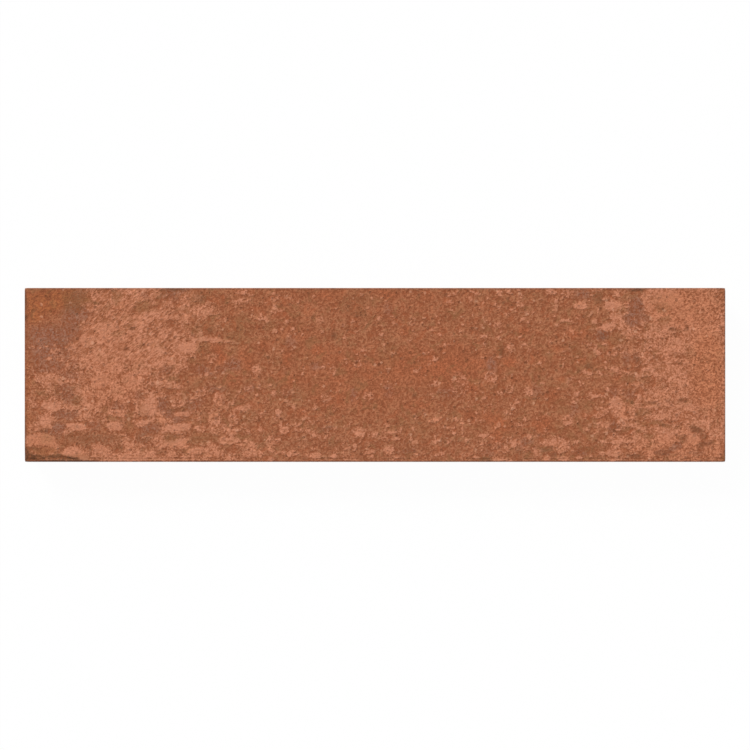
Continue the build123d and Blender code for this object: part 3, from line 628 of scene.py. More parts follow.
def patch_shares(x, y, patches, softness=0.5):
    """Strength of each elliptical patch at each point: full inside, falling smoothly past its rim."""
    for px, py, length, width, strength, *turn in patches:
        along, across = turned(x - px, y - py, *turn)
        reach = np.hypot(along / (length / 2), across / (width / 2))
        yield strength * smooth_step(1 + softness, 1 - softness, reach)


def covered(x, y, patches, softness=0.5):
    """Share covered by overlapping patches: the bare shares of all of them are multiplied."""
    bare = np.ones_like(x)
    for share in patch_shares(x, y, patches, softness):
        bare *= 1 - share
    return 1 - bare


def graded(count, half):
    """Grid lines from -half to half: cells of EDGE_CELL along both ends, and even ones between."""
    fine = np.arange(EDGE_CELLS) * EDGE_CELL
    inner = half - EDGE_CELLS * EDGE_CELL
    middle = np.linspace(-inner, inner, count - 2 * EDGE_CELLS + 1)
    return np.concatenate([fine - half, middle, (half - fine)[::-1]])


def boundary(count_x, count_y):
    """Indices of a grid's outer points, anticlockwise from its low corner, without repeats."""
    i, j = np.arange(count_x), np.arange(count_y)
    along = np.concatenate([i, np.full(count_y, count_x), count_x - i, np.zeros(count_y, int)])
    across = np.concatenate([np.zeros(count_x, int), j, np.full(count_x, count_y), count_y - j])
    return along, across


def face_height(x, y, tile):
    """Height of the struck face: the thickness less a dish of squared cosines and a sine ripple."""
    along = np.cos(pi * x / (tile["length"] + 2 * FACE_OVERRUN))
    across = np.cos(pi * (y / (tile["width"] + 2 * FACE_OVERRUN) - HOLLOW_SHIFT) * HOLLOW_SHARE)
    u, _ = turned(x, y, RIPPLE_SKEW)
    ripple = tile["ripple_height"] * (0.5 - 0.5 * np.sin(2 * pi * u / tile["ripple_length"]))
    return tile["thickness"] - tile["hollow_depth"] * along**2 * across**2 - ripple * along


def groove_depths(x, y, tile):
    """Depth of the keying grooves: a ball of the tool's radius run along each groove's line."""
    span = tile["width"] - 2 * tile["groove_side_margin"]
    pitch = span / (tile["groove_count"] - 1)
    run = tile["length"] / 2 - tile["groove_end_margin"] - tile["groove_radius"]
    nearest = (y + span / 2) / pitch
    lane = np.clip(np.round(nearest), 0, tile["groove_count"] - 1)
    across = (nearest - lane) * pitch
    past = np.maximum(np.abs(x) - run, 0)
    gap = np.hypot(across, past)
    ball = np.sqrt(np.maximum(tile["groove_radius"] ** 2 - gap**2, 0))
    return np.maximum(ball - (tile["groove_radius"] - tile["groove_depth"]), 0)


def back_lines(tile, count_y):
    """Grid lines across the back, with the shoulders of every groove on a line."""
    half = tile["width"] / 2
    span = tile["width"] - 2 * tile["groove_side_margin"]
    pitch = span / (tile["groove_count"] - 1)
    reach = np.sqrt(tile["groove_radius"] ** 2 - (tile["groove_radius"] - tile["groove_depth"]) ** 2)
    centres = np.arange(tile["groove_count"]) * pitch - span / 2
    stops = [-half]
    for centre in centres:
        stops += [centre - reach, centre + reach]
    stops.append(half)
    lands = count_y - GROOVE_CELLS * tile["groove_count"]
    widths = np.diff(stops)[::2]
    shares = np.floor(lands * widths / widths.sum()).astype(int)
    shares[0] += lands - shares.sum()
    lines = [np.array([-half])]
    for k, (low, high) in enumerate(zip(stops[:-1], stops[1:])):
        cells = shares[k // 2] if k % 2 == 0 else GROOVE_CELLS
        lines.append(np.linspace(low, high, cells + 1)[1:])
    return np.concatenate(lines) / half


def tile_sizes(shape):
    """The tile's sizes in millimetres, from the frame's box and the shape's properties."""
    names = (
        "arris_radius", "back_chamfer", "hollow_depth", "ripple_height", "ripple_length",
        "groove_radius", "groove_depth", "groove_side_margin", "groove_end_margin",
        "sand_height", "slip_thickness",
    )
    tile = {name: getattr(shape, name) / MM for name in names}
    tile["length"] = (tile_high.x - tile_low.x) / MM
    tile["width"] = (tile_high.y - tile_low.y) / MM
    tile["thickness"] = (tile_high.z - tile_low.z) / MM
    tile["draft"] = shape.side_draft
    tile["groove_count"] = shape.groove_count
    return tile


def tile_surface(tile):
    """Closed surface of the smooth tile: a face grid, rings down the sides and a back grid.

    The arris is a quarter circle and the sides lean in on a straight line. Down the side the rings
    go over to half as many points, through a row of five-sided faces. Gives points, four-sided
    faces and five-sided ones.
    """
    half = np.array([tile["length"] / 2, tile["width"] / 2])
    radius = tile["arris_radius"]
    face_x = graded(FACE_CELLS_X, half[0] - radius)
    face_y = graded(FACE_CELLS_Y, half[1] - radius)
    x, y = np.meshgrid(face_x, face_y, indexing="ij")
    face = np.stack([x, y, face_height(x, y, tile)], -1)
    grid = np.arange(x.size).reshape(x.shape)
    points = [face.reshape(-1, 3)]
    quads = [grid_quads(grid)]

    # Rings of the arris, pushed outwards from a core a little smaller than the face.
    i, j = boundary(FACE_CELLS_X, FACE_CELLS_Y)
    rim = face[i, j]
    inner = half - radius - CORNER_FAN
    core = np.clip(rim[:, :2], -inner, inner)
    outward = rim[:, :2] - core
    outward /= np.linalg.norm(outward, axis=1)[:, None]
    rings = []
    for row in range(1, ARRIS_ROWS + 1):
        angle = (pi / 2) * row / ARRIS_ROWS
        plan = rim[:, :2] + radius * sin(angle) * outward
        rings.append(np.column_stack([plan, rim[:, 2] - radius * (1 - cos(angle))]))
    outline = rings[-1][:, :2] / half
    edge = rings[-1][:, 2]

    def side_ring(plan, top, share):
        """Ring at a share of the way down the side, from the arris to the chamfer."""
        z = top + (tile["back_chamfer"] - top) * share
        inset = (tile["thickness"] - z)[:, None] * tan(tile["draft"])
        return np.column_stack([plan * (half - inset), z])

    for row in range(1, UPPER_ROWS + 1):
        rings.append(side_ring(outline, edge, UPPER_SHARE * row / UPPER_ROWS))

    # Rings of half as many points, which slide along the side to meet the back's grid lines.
    back_x = face_x[::2] / face_x[-1]
    back_y = back_lines(tile, FACE_CELLS_Y // 2)
    back_i, back_j = boundary(FACE_CELLS_X // 2, FACE_CELLS_Y // 2)
    foot = np.column_stack([back_x[back_i], back_y[back_j]])
    foot *= 1 - CORNER_EASE * smooth_step(0.99, 1.0, np.abs(foot).min(1))[:, None]
    for row in range(1, LOWER_ROWS + 1):
        blend = row / LOWER_ROWS
        plan = outline[::2] * (1 - blend) + foot * blend
        rings.append(side_ring(plan, edge[::2], UPPER_SHARE + (1 - UPPER_SHARE) * row / LOWER_ROWS))
    drop = tile["back_chamfer"] * FOOT_DROP
    plan = rings[-1][:, :2] * (1 - drop * FOOT_INSET / half)
    rings.append(np.column_stack([plan, rings[-1][:, 2] - drop]))

    # The rings are joined below the face's rim, one under the other.
    above, total = grid[i, j], grid.size
    for ring in rings:
        below = total + np.arange(len(ring))
        points.append(ring)
        if len(below) == len(above):
            quads.append(ring_quads(above, below))
        else:
            fives = ring_fives(above, below)
        above, total = below, total + len(ring)

    # The back, flat but for its grooves, closes the last ring.
    foot_half = (half - tile["thickness"] * tan(tile["draft"])) * (1 - tile["back_chamfer"] / half)
    plan_x, plan_y = np.meshgrid(back_x * foot_half[0], back_y * foot_half[1], indexing="ij")
    back = np.stack([plan_x, plan_y, groove_depths(plan_x, plan_y, tile)], -1)
    back_grid = total + np.arange(plan_x.size).reshape(plan_x.shape)
    points.append(back.reshape(-1, 3))
    quads.append(grid_quads(back_grid)[:, ::-1])
    quads.append(ring_quads(above, back_grid[back_i, back_j]))
    return np.concatenate(points), np.concatenate(quads), fives


def grid_quads(grid):
    """Quads of a grid of point numbers, anticlockwise seen from above."""
    corners = grid[:-1, :-1], grid[1:, :-1], grid[1:, 1:], grid[:-1, 1:]
    return np.stack([c.ravel() for c in corners], 1)


def ring_quads(upper, lower):
    """Quads between two rings that run anticlockwise, facing outwards."""
    up, low = np.append(upper, upper[0]), np.append(lower, lower[0])
    return np.column_stack([low[:-1], low[1:], up[1:], up[:-1]])


def ring_fives(upper, lower):
    """Five-sided faces from a ring to one of half as many points below it, facing outwards."""
    up, low = np.append(upper, upper[0]), np.append(lower, lower[0])
    return np.column_stack([low[:-1], low[1:], up[2::2], up[1::2], up[:-1:2]])


def bell(distance, width):
    """Bell curve of a distance: e to the power of -(d/w)², so 1 on the line and 0 far from it."""
    return np.exp(-((distance / width) ** 2))


def pit_depth(points, cell, seed, share, smallest, largest):
    """Round pits in a share of the lattice's cells: a bowl 1 - (d/r)² deep, with its size by chance."""
    gap, number = nearest_grain(points, cell, seed)
    chance = number * 0.5 + 0.5
    radius = smallest + (largest - smallest) * (chance / share) ** 3
    bowl = np.clip(1 - (gap / radius) ** 2, 0, 1)
    return np.where(chance < share, bowl * radius, 0)


def crease_gap(x, y):
    """How far a point lies in front of the crease, in millimetres: below 0 on the sound face."""
    return np.interp(x, CREASE_X, CREASE_Y, right=-40.0) - y


def paint_face(points):
    """Shares of every finish on the face, and how far its slip was brushed on, with ragged rims.

    Each is covered by its patches, read where a noise has moved x and y. Slip's share is swung by a
    noise too: strokes where it was brushed on, blobs where it was dabbed on. Worn spots are taken
    away from it, and flecks, rings and single dabs laid on it. Soot and painted shade lie in their
    marks and in the slack corner as well, and the crease's painted shadow is a bell curve across its
    own line.
    """
    x, y, z = points
    level = np.zeros_like(z)
    flat = (x, y, level)
    ragged_x = x + 1.2 * fractal_noise(flat, cell=4.0, octaves=4, seed=11, gain=0.65)
    ragged_y = y + 0.9 * fractal_noise(flat, cell=4.0, octaves=4, seed=23, gain=0.65)
    ash = covered(ragged_x, ragged_y, ASH_FLASHES, 0.5)
    ochre = covered(ragged_x, ragged_y, OCHRE_STAINS, 0.5)

    brushed = smooth_step(-70, -96, x) * smooth_step(-14, 2, y + 0.1 * x) * (1 - ash) * (1 - ochre)
    dabbed = covered(ragged_x, ragged_y, DAPPLE_FIELDS, 0.6) * (1 - brushed)
    right = smooth_step(40, 90, x)
    u, v = turned(x, y, BRUSH_SLANT)
    strokes = fractal_noise((u / BRUSH_STRETCH, v, level), cell=1.6, octaves=3, seed=37, gain=0.6)
    blobs = fractal_noise((ragged_x / 1.4, ragged_y, level), cell=4.0, octaves=3, seed=67, gain=0.6)
    strips = fractal_noise((ragged_x / 2.2, ragged_y, level), cell=2.2, octaves=3, seed=71, gain=0.6)
    blobs += (strips - blobs) * right
    slip = 0.5 + 1.5 * (covered(ragged_x, ragged_y, SLIP_FIELDS, 0.8) - 0.5)
    slip += brushed * strokes + (1.15 - 0.25 * right) * dabbed * blobs
    slip = np.minimum(slip, SLIP_LIMIT)
    bare = covered(ragged_x, ragged_y, BARE_PATCHES, 0.2)
    slip *= 1 - WEAR * bare

    thick = covered(ragged_x, ragged_y, FLECK_FIELDS, 0.6)
    fleck = fractal_noise((x / 1.3, y, level), cell=1.8, octaves=2, seed=61, gain=0.7)
    fleck = smooth_step(0.8 - 0.3 * thick, 1 - 0.3 * thick, fleck)
    slip += (1.05 - slip) * fleck * (1 - 0.5 * brushed) * (1 - ochre)
    gap = crease_gap(x, y)
    slack = smooth_step(-0.4, 0.5, gap)
    drawn = fractal_noise((x / 3, y, level), cell=1.1, octaves=2, seed=43)
    slip += (2.4 * drawn - 0.3 - slip) * slack

    for px, py, across, strength in SLIP_RINGS:
        ring = bell(np.hypot(x - px, y - py) - across / 2, 0.5)
        slip += (1 - slip) * np.minimum(1.7 * strength, 1) * ring
    near_x, near_y = x + 0.4 * (ragged_x - x), y + 0.4 * (ragged_y - y)
    slip += (1.1 - slip) * np.minimum(1.3 * covered(near_x, near_y, SLIP_DABS, 0.16), 1)
    near_x, near_y = x + 0.3 * (ragged_x - x), y + 0.3 * (ragged_y - y)
    slip += (1.1 - slip) * np.minimum(1.5 * covered(near_x, near_y, SLIP_FLECKS, 0.3), 1)
    return {
        "slip": np.clip(slip, -0.2, 1.2),
        "brushed": brushed,
        "ash": ash,
        "smoke": covered(ragged_x, ragged_y, SMOKE_STAINS, 0.4),
        "iron": covered(ragged_x, ragged_y, IRON_BLOOMS, 0.7),
        "ochre": ochre,
        "buff": covered(ragged_x, ragged_y, BUFF_SANDS, 0.4),
        # Soot, darker hollows among the dabs and in the slack corner, and painted shade along the edges
        # and the crease.
        "soot_and_shade": np.maximum.reduce(
            [covered(near_x, near_y, SOOT_AND_SHADE_MARKS, 0.4), 0.06 * bare * dabbed, (0.3 - 0.9 * drawn) * slack]
        ),
        # Painted shadow along the crease.
        "crease": bell(gap - 0.2, 0.4) * (0.7 + 0.3 * np.clip(drawn, -1, 1)),
    }


def front_lip(x, y, tile):
    """Shares of the groove and of the beads that the strike's wire left along the front edge.

    They are bell curves across a line that wanders by a noise along the edge, and another noise
    breaks them up.
    """
    level = np.zeros_like(x)
    wander = 0.12 * fractal_noise((x, level, level), cell=22.0, octaves=2, seed=131)
    broken = fractal_noise((x, level, level + 40), cell=5.0, octaves=3, seed=137)
    broken = smooth_step(-0.5, 0.3, broken)
    past = y - (LIP_INSET - tile["width"] / 2 + wander)
    groove = bell(past, 0.24) * broken
    bead = 0.4 * bell(past - 0.6, 0.4) + bell(past + 0.45, 0.22)
    return groove, bead * (0.4 + 0.6 * broken)


def vertex_normals(points, faces):
    """Normals of a mesh's points, as Blender works them out from the faces round each."""
    mesh = bpy.data.meshes.new("smooth_tile")
    mesh.from_pydata(points.tolist(), [], faces)
    mesh.update()
    normals = np.empty(len(points) * 3, np.float32)
    mesh.vertex_normals.foreach_get("vector", normals)
    bpy.data.meshes.remove(mesh)
    return normals.reshape(-1, 3).astype(float)


def dressed_tile(tile):
    """Points of the tile with its relief, its faces, and the shares that the material reads.

    Each point moves along its normal by a relief, which is never above the solid. On the face it is
    noises of sand and pressing, the slip and the beads, less pits and the groove; on the sides the
    same noises less folds and pits; on the back those and a noise drawn out along the tile. They
    are weighted by how far the surface faces up, sideways or down, and chips are taken off the
    arris. The slack corner then sinks straight down.
    """
    points, quads, fives = tile_surface(tile)
    faces = quads.tolist() + fives.tolist()
    normals = vertex_normals(points, faces)
    x, y, z = points.T
    up, down = np.clip(normals[:, 2], 0, 1), np.clip(-normals[:, 2], 0, 1)
    where = (x, y, z)

    # Shares of the finishes: most stay on the face, and slip runs down the sides and over the back.
    shares = paint_face(where)
    top = smooth_step(0.2, 0.8, up)
    under = smooth_step(0.3, 0.8, down)
    side = 1 - top - under
    brow = smooth_step(-0.2, 0.3, up - down)
    groove, bead = front_lip(x, y, tile)
    for name in ("ash", "smoke", "iron", "ochre", "buff"):
        shares[name] = shares[name] * top
    # Soot with its painted shade, and the crease's painted shadow, stay on the face and the arris.
    for name in ("soot_and_shade", "crease"):
        shares[name] = shares[name] * brow
    splash = smooth_step(tile["thickness"] - 9, tile["thickness"], z)
    side_slip = 0.35 * splash + 0.55 * fractal_noise((x, y, z / 2), cell=6.0, octaves=3, seed=71)
    back_slip = 0.5 * fractal_noise((x / 4, y, z), cell=7.0, octaves=3, seed=73)
    shares["slip"] = top * (shares["slip"] + 0.55 * bead) + side * side_slip + under * back_slip
    # Painted shadow in the strike's groove along the front edge.
    shares["crease"] = np.maximum(shares["crease"], 0.7 * groove * top)
    rim = np.maximum(np.abs(x) - tile["length"] / 2, np.abs(y) - tile["width"] / 2)
    # Share of the arris: where the material paints shade along the rounded edge, and where the relief is
    # calmed and chipped.
    shares["arris"] = smooth_step(-1.1, -0.2, rim) * brow
    brim = smooth_step(-0.6, -0.2, rim) * smooth_step(tile["thickness"] - 3, tile["thickness"] - 1, z)

    # Relief of the face, the sides and the back, in millimetres.
    sand = fractal_noise(where, cell=1.7, octaves=3, seed=91) * tile["sand_height"]
    press = fractal_noise(where, cell=18.0, octaves=2, seed=97)
    pits = pit_depth(where, cell=4.5, seed=101, share=0.35, smallest=0.35, largest=1.1)
    mask = smooth_step(0.2, 0.8, shares["slip"])
    relief_face = sand * 0.8 + 0.03 * press + tile["slip_thickness"] * mask - 0.25 * pits
    relief_face += 0.05 * bead - LIP_DEPTH * groove
    gap = crease_gap(x, y)
    grit = fractal_noise(where, cell=1.0, octaves=2, seed=113)
    slack = smooth_step(-0.2, 0.6, gap)
    relief_face += slack * 0.2 * grit
    relief_face += 0.05 * bell(gap + 0.5, 0.5)

    folds = fractal_noise((x / 6, y / 6, z), cell=2.6, octaves=3, seed=103)
    folds = 1 - np.abs(folds) * 2.2
    relief_side = sand * 1.4 + 0.08 * press - 0.28 * np.clip(folds, 0, 1) ** 2 - 0.45 * pits

    drag = fractal_noise((x / 30, y, z), cell=1.3, octaves=2, seed=107)
    relief_back = sand * 1.6 + 0.08 * press + 0.05 * drag - 0.5 * pits

    # All relief, calmer along the arris and near the brim, so that the outline stays the solid's.
    chips = fractal_noise(where, cell=3.2, octaves=2, seed=109)
    chips = np.clip(chips - 0.45, 0, 0.5) * shares["arris"]
    relief = top * relief_face + under * relief_back + side * relief_side
    calm = 1 - 0.7 * shares["arris"] * (1 - slack)
    relief = relief * calm - 0.3 * chips - PROUD * (1 - 0.8 * shares["arris"] * (1 - slack))
    relief = np.minimum(relief * (1 - 0.96 * brim * (1 - slack * top)), 0)
    points = points + normals * relief[:, None]
    sunk = SLACK_DROP * slack * (0.3 + 0.7 * smooth_step(0, 5, gap))
    points[:, 2] -= sunk * smooth_step(tile["thickness"] - 3, tile["thickness"] - 0.8, z)
    return points, faces, shares


def add_node(tree, kind, inputs=(), **settings):
    """Adds a node with its settings, and puts a value or a link into each of its sockets.

    A kind is given without its ShaderNode. A link is given as the socket it comes from, or as a
    node, whose first output is then meant. Inputs in a row go to the sockets in their order.
    """
    node = tree.nodes.new("ShaderNode" + kind)
    for name, value in settings.items():
        setattr(node, name, value)
    sockets = inputs if isinstance(inputs, dict) else dict(enumerate(inputs))
    for socket, value in sockets.items():
        source = value.outputs[0] if isinstance(value, bpy.types.Node) else value
        if isinstance(source, bpy.types.NodeSocket):
            tree.links.new(source, node.inputs[socket])
        else:
            node.inputs[socket].default_value = source
    return node


def per_metre(millimetres):
    """Texture scale that gives features of a real size."""
    return 1 / (millimetres * MM)


def rgba(colour):
    """Colour with its alpha, as sockets take it."""
    return (*colour, 1.0)


WHITE = rgba((1, 1, 1))

# Sockets of the Mix node when it mixes colours.
MIX_SHARE, MIX_FROM, MIX_TO, MIX_RESULT = 0, 6, 7, 2

# Setting of a Map Range node that steps up smoothly. Its inputs are the value, where the step starts
# and ends, and what it gives below and above.
SMOOTH = {"interpolation_type": "SMOOTHSTEP"}

# The shares that paint_face and dressed_tile give to the mesh: finishes, soot, and painted shade in the
# crease and along the edges.
FINISH_AND_SHADE_SHARES = ("slip", "brushed", "ash", "smoke", "iron", "ochre", "buff", "soot_and_shade", "crease", "arris")


def terracotta_material(colours):
    """Low-fired terracotta, hand pressed in a sanded mould and brushed with slip.

    Dry, porous and dead matt: the eye reads it by its grain, its sand and the ragged slip. Shade in its
    pores, its crease and groove and along its edges is painted into its colour.
    """
    material = bpy.data.materials.new("Terracotta, hand pressed, slip brushed")
    material.use_nodes = True
    tree = material.node_tree
    tree.nodes.clear()
    add = partial(add_node, tree)
    place = add("TexCoord").outputs["Object"]
    share = {name: add("Attribute", attribute_name=name).outputs["Fac"] for name in FINISH_AND_SHADE_SHARES}

    def swung(start, *terms):
        """A start value plus each noise's swing round its middle, times its weight."""
        for value, weight in terms:
            swing = add("Math", (value, 0.5), operation="SUBTRACT")
            start = add("Math", (swing, weight, start), operation="MULTIPLY_ADD")
        return start

    def strewn(millimetres, largest, ragged):
        """Grains strewn one to a cell, each of its own size, most of them small."""
        cells = add("TexVoronoi", {"Vector": place, "Scale": per_metre(millimetres)})
        chance = add("SeparateColor", {"Color": cells.outputs["Color"]}).outputs
        size = add("Math", (chance["Red"], 3.0), operation="POWER")
        size = swung(add("Math", (size, largest), operation="MULTIPLY"), (ragged, 0.35))
        within = add("Math", (size, cells.outputs["Distance"]), operation="SUBTRACT")
        return add("MapRange", (within, 0.0, 0.12, 0.0, 1.0), **SMOOTH), chance["Green"]

    def layered(colour, *layers):
        """Layers laid over a colour, one after the other: share, its strength, and the colour."""
        for cover, strength, above in layers:
            weight = add("Math", (cover, strength), operation="MULTIPLY")
            sockets = {MIX_SHARE: weight, MIX_FROM: colour, MIX_TO: above}
            colour = add("Mix", sockets, data_type="RGBA").outputs[MIX_RESULT]
        return colour

    # Cloudy noises: the size of their largest features in millimetres, detail, swirl, and whether
    # they are drawn out along the brush's strokes.
    slant = {"Vector": place, "Rotation": (0, 0, radians(BRUSH_SLANT)), "Scale": (BRUSH_STRETCH, 1, 1)}
    slanted = add("Mapping", slant, vector_type="TEXTURE")
    noises = []
    for millimetres, detail, swirl, where in (
        (0.8, 2, 0.6, place),
        (0.6, 2, 0.8, slanted),
        (1.5, 2, 0.3, place),
        (7.0, 3, 0.0, place),
        (5.0, 2, 1.0, place),
    ):
        sockets = {"Vector": where, "Scale": per_metre(millimetres), "Detail": detail, "Roughness": 0.6}
        noises.append(add("TexNoise", {**sockets, "Distortion": swirl}))
    dots, strokes, grain, cloud, flame = noises

    # Sand and grog in the clay, from fine to coarse, and the brush's slanting strokes.
    drawn = add("Math", (share["brushed"], 0.85), operation="MULTIPLY")
    change = add("Math", (strokes, dots), operation="SUBTRACT")
    fine = add("Math", (change, drawn, dots), operation="MULTIPLY_ADD")
    grog, facet = strewn(0.9, 0.6, fine)
    lift = add("MapRange", (share["slip"], 0.8, 1.2, 0.0, 0.28), **SMOOTH)
    lift = add("Math", (lift, 0.42), operation="ADD")
    calm = add("MapRange", (share["slip"], 0.88, 1.1, 0.0, 0.6), **SMOOTH)
    lively = add("Math", (1.0, calm), operation="SUBTRACT")
    tone = swung(0.0, (fine, 2.9), (grain, 1.25), (facet, 0.4), (cloud, 0.85))
    tone = add("Math", (tone, lively, lift), operation="MULTIPLY_ADD")
    tone = add("MapRange", (tone, -0.05, 1.05, 0.0, 1.0), **SMOOTH)

    # The fired body, the slip over it, and the buff sand on the slip.
    light = layered(
        rgba(colours.clay_light),
        (share["iron"], 0.85, rgba(colours.iron)),
        (share["ochre"], 0.9, rgba(colours.ochre)),
        (share["ash"], 1.0, rgba(colours.ash)),
    )
    sandy = add("MapRange", (cloud, 0.5, 0.7, 0.0, 0.55), **SMOOTH)
    sandy = add("Math", (share["buff"], sandy), operation="MAXIMUM")
    thick = layered(rgba(colours.slip_pale), (sandy, 1.0, rgba(colours.buff)))
    thin = layered(rgba(colours.slip_deep), (share["buff"], 0.9, rgba(colours.clay_dark)))
    body = layered(rgba(colours.clay_dark), (tone, 1.0, light))
    slip = layered(thin, (tone, 1.0, thick))
    mask = swung(share["slip"], (fine, 0.7), (grain, 0.7))
    mask = add("MapRange", (mask, 0.15, 0.85, 0.0, 1.0), **SMOOTH)

    # Smoky and iron-red breath of the fire, weaker on the slip and in the ash.
    off_slip = add("Math", (mask, -0.6, 1.0), operation="MULTIPLY_ADD")
    off_ash = add("Math", (share["ash"], -0.8, 1.0), operation="MULTIPLY_ADD")
    breath = add("Math", (off_slip, off_ash), operation="MULTIPLY")
    drift = add("MapRange", (flame, 0.52, 0.72, 0.0, 0.42), **SMOOTH)
    drift = add("Math", (breath, drift), operation="MULTIPLY")
    stain = add("MapRange", (fine, 0.25, 0.6, 0.0, 0.5), **SMOOTH)
    stain = add("Math", (share["smoke"], stain), operation="MULTIPLY")
    smoky = add("Math", (drift, stain), operation="MAXIMUM")
    blush = add("MapRange", (flame, 0.48, 0.26, 0.0, 0.32), **SMOOTH)

    # Sand grains, pores with painted shade in them, soot and darker hollows, painted shade along the
    # edges and painted shadow in the crease, and all of it laid over one another.
    quartz, _ = strewn(3.1, 0.3, fine)
    pores, _ = strewn(1.9, 0.42, grain)
    soot_and_shade_breakup = add("MapRange", (fine, 0.25, 0.6, 0.0, 0.85), **SMOOTH)
    colour = layered(
        body,
        (mask, 1.0, slip),
        (smoky, 1.0, rgba(colours.smoke)),
        (breath, blush, rgba(colours.iron)),
        (quartz, 0.4, rgba(colours.quartz)),
        # Pores darkened with the soot colour: painted shade in them.
        (pores, 0.3, rgba(colours.soot_and_shade)),
        # Soot and darker hollows, with painted shade along the edges and the crease.
        (share["soot_and_shade"], soot_and_shade_breakup, rgba(colours.soot_and_shade)),
        # Painted shadow in the crease and in the strike's groove.
        (share["crease"], 0.42, rgba(colours.soot_and_shade)),
        # Painted shade along the rounded edge.
        (share["arris"], 0.28, rgba(colours.edge_shade)),
    )

    # Fine relief: grains and grog stand up, the slip lies on them, and the pores go in.
    height = swung(0.0, (fine, 1.0), (grain, 1.6))
    for value, weight in ((mask, 0.3), (grog, 0.15), (pores, -0.5)):
        height = add("Math", (value, weight, height), operation="MULTIPLY_ADD")
    bump = add("Bump", {"Strength": 1.0, "Distance": 0.35 * MM, "Height": height})
    finish = {"Roughness": 0.9, "IOR": 1.45, "Specular IOR Level": 0.25}
    clay = add("BsdfPrincipled", {"Base Color": colour, "Normal": bump, **finish})
    add("OutputMaterial", {"Surface": clay})
    return material


def seen_share(tree):
    """Node that gives 1 for rays from the camera or off a glossy surface, and 0 for others."""
    path = add_node(tree, "LightPath").outputs
    return add_node(tree, "Math", (path["Is Camera Ray"], path["Is Glossy Ray"]), operation="MAXIMUM")


def floor_material(colour, lift):
    """White lacquered board: plain and matt, lifted towards white for the camera, shadow kept."""
    material = bpy.data.materials.new("White board, matt lacquered")
    material.use_nodes = True
    tree = material.node_tree
    tree.nodes.clear()
    share = add_node(tree, "Math", (seen_share(tree), lift), operation="MULTIPLY")
    board = add_node(tree, "BsdfDiffuse", {"Color": rgba(colour)})
    white = add_node(tree, "Emission", {"Color": WHITE, "Strength": 1.0})
    lifted = add_node(tree, "MixShader", (share, board, white))
    add_node(tree, "OutputMaterial", {"Surface": lifted})
    return material


def sky_world(strength):
    """Even light from all round, seen by the camera as plain white."""
    world = bpy.data.worlds.new("Light tent")
    world.use_nodes = True
    tree = world.node_tree
    tree.nodes.clear()
    light = add_node(tree, "Background", {"Color": WHITE, "Strength": strength})
    white = add_node(tree, "Background", {"Color": WHITE, "Strength": 1.0})
    both = add_node(tree, "MixShader", (seen_share(tree), light, white))
    add_node(tree, "OutputWorld", {"Surface": both})
    return world


def mesh_object(name, points, faces, material):
    """An object at the origin whose mesh holds these points, in millimetres, and smooth faces."""
    mesh = bpy.data.meshes.new(name)
    mesh.from_pydata((points * MM).tolist(), [], faces)
    mesh.polygons.foreach_set("use_smooth", np.ones(len(mesh.polygons), bool))
    mesh.materials.append(material)
    mesh.update()
    piece = bpy.data.objects.new(name, mesh)
    bpy.context.scene.collection.objects.link(piece)
    return piece


class TILE_OT_press(bpy.types.Operator):
    """Press, strike, brush and fire the tile"""

    bl_idname = "tile.press"
    bl_label = "Press Tile"

    def execute(self, context):
        tile = tile_sizes(context.scene.tile_shape)
        points, faces, shares = dressed_tile(tile)
        clay = terracotta_material(context.scene.tile_colours)
        piece = mesh_object("moulded_tile", points, faces, clay)
        for name, values in shares.items():
            attribute = piece.data.attributes.new(name, "FLOAT", "POINT")
            attribute.data.foreach_set("value", values.astype(np.float32))
        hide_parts(TILE_NODE)
        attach(piece, TILE_BODY)
        return {"FINISHED"}


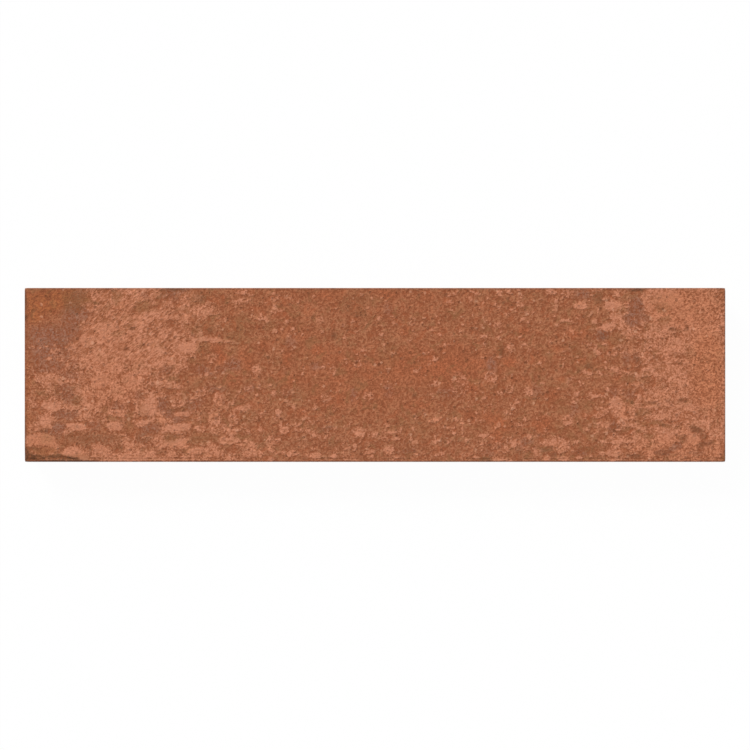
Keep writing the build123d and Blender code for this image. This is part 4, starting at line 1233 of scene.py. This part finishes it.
class TILE_OT_stage(bpy.types.Operator):
    """Lay the floor, hang the lamps and set up the camera"""

    bl_idname = "tile.stage"
    bl_label = "Set Stage"

    def execute(self, context):
        scene, stage = context.scene, context.scene.tile_stage
        scene.view_settings.view_transform = "Standard"
        half = stage.floor_size / MM / 2
        corners = np.array([(-half, -half, 0), (half, -half, 0), (half, half, 0), (-half, half, 0)])
        board = floor_material(stage.floor, stage.floor_lift)
        mesh_object("floor", corners, [(0, 1, 2, 3)], board)
        scene.world = sky_world(stage.sky_share)

        lamp = bpy.data.lights.new("key_lamp", "SUN")
        lamp.energy = stage.key_share * pi / cos(stage.key_tilt)
        lamp.angle = stage.key_softness
        key = bpy.data.objects.new("key_lamp", lamp)
        key.rotation_euler = (stage.key_tilt, 0, stage.key_turn)
        scene.collection.objects.link(key)

        camera = bpy.data.cameras.new("camera")
        camera.lens = stage.lens
        pixel = (tile_high.x - tile_low.x) / PHOTO_TILE_LENGTH_PX
        distance = PHOTO_WIDTH_PX * pixel * camera.lens / camera.sensor_width
        eye = bpy.data.objects.new("camera", camera)
        eye.location = (
            (PHOTO_WIDTH_PX / 2 - PHOTO_TILE_CENTRE_X_PX) * pixel,
            (PHOTO_TILE_CENTRE_Y_PX - PHOTO_WIDTH_PX / 2) * pixel,
            tile_high.z + distance,
        )
        scene.collection.objects.link(eye)
        scene.camera = eye
        return {"FINISHED"}


class TILE_PT_panel(bpy.types.Panel):
    """Lists the tile's sizes, its colours and the stage"""

    bl_label = "Handmade Tile"
    bl_idname = "TILE_PT_panel"
    bl_space_type = "VIEW_3D"
    bl_region_type = "UI"
    bl_category = "Tile"

    def draw(self, context):
        groups = (
            (context.scene.tile_shape, "tile.press"),
            (context.scene.tile_colours, None),
            (context.scene.tile_stage, "tile.stage"),
        )
        for group, operator in groups:
            box = self.layout.box()
            for name in group.__annotations__:
                box.prop(group, name)
            if operator:
                box.operator(operator)


CLASSES = (TileShape, TileColours, StageSettings, TILE_OT_press, TILE_OT_stage, TILE_PT_panel)


def register():
    """Registers the classes and hangs their settings on the scene."""
    for cls in CLASSES:
        bpy.utils.register_class(cls)
    bpy.types.Scene.tile_shape = PointerProperty(type=TileShape)
    bpy.types.Scene.tile_colours = PointerProperty(type=TileColours)
    bpy.types.Scene.tile_stage = PointerProperty(type=StageSettings)


def unregister():
    """Takes the settings and the classes away again."""
    del bpy.types.Scene.tile_stage
    del bpy.types.Scene.tile_colours
    del bpy.types.Scene.tile_shape
    for cls in reversed(CLASSES):
        bpy.utils.unregister_class(cls)


def main():
    """Makes the tile and its stage."""
    register()
    bpy.ops.tile.press()
    bpy.ops.tile.stage()


if __name__ == "__main__":
    main()
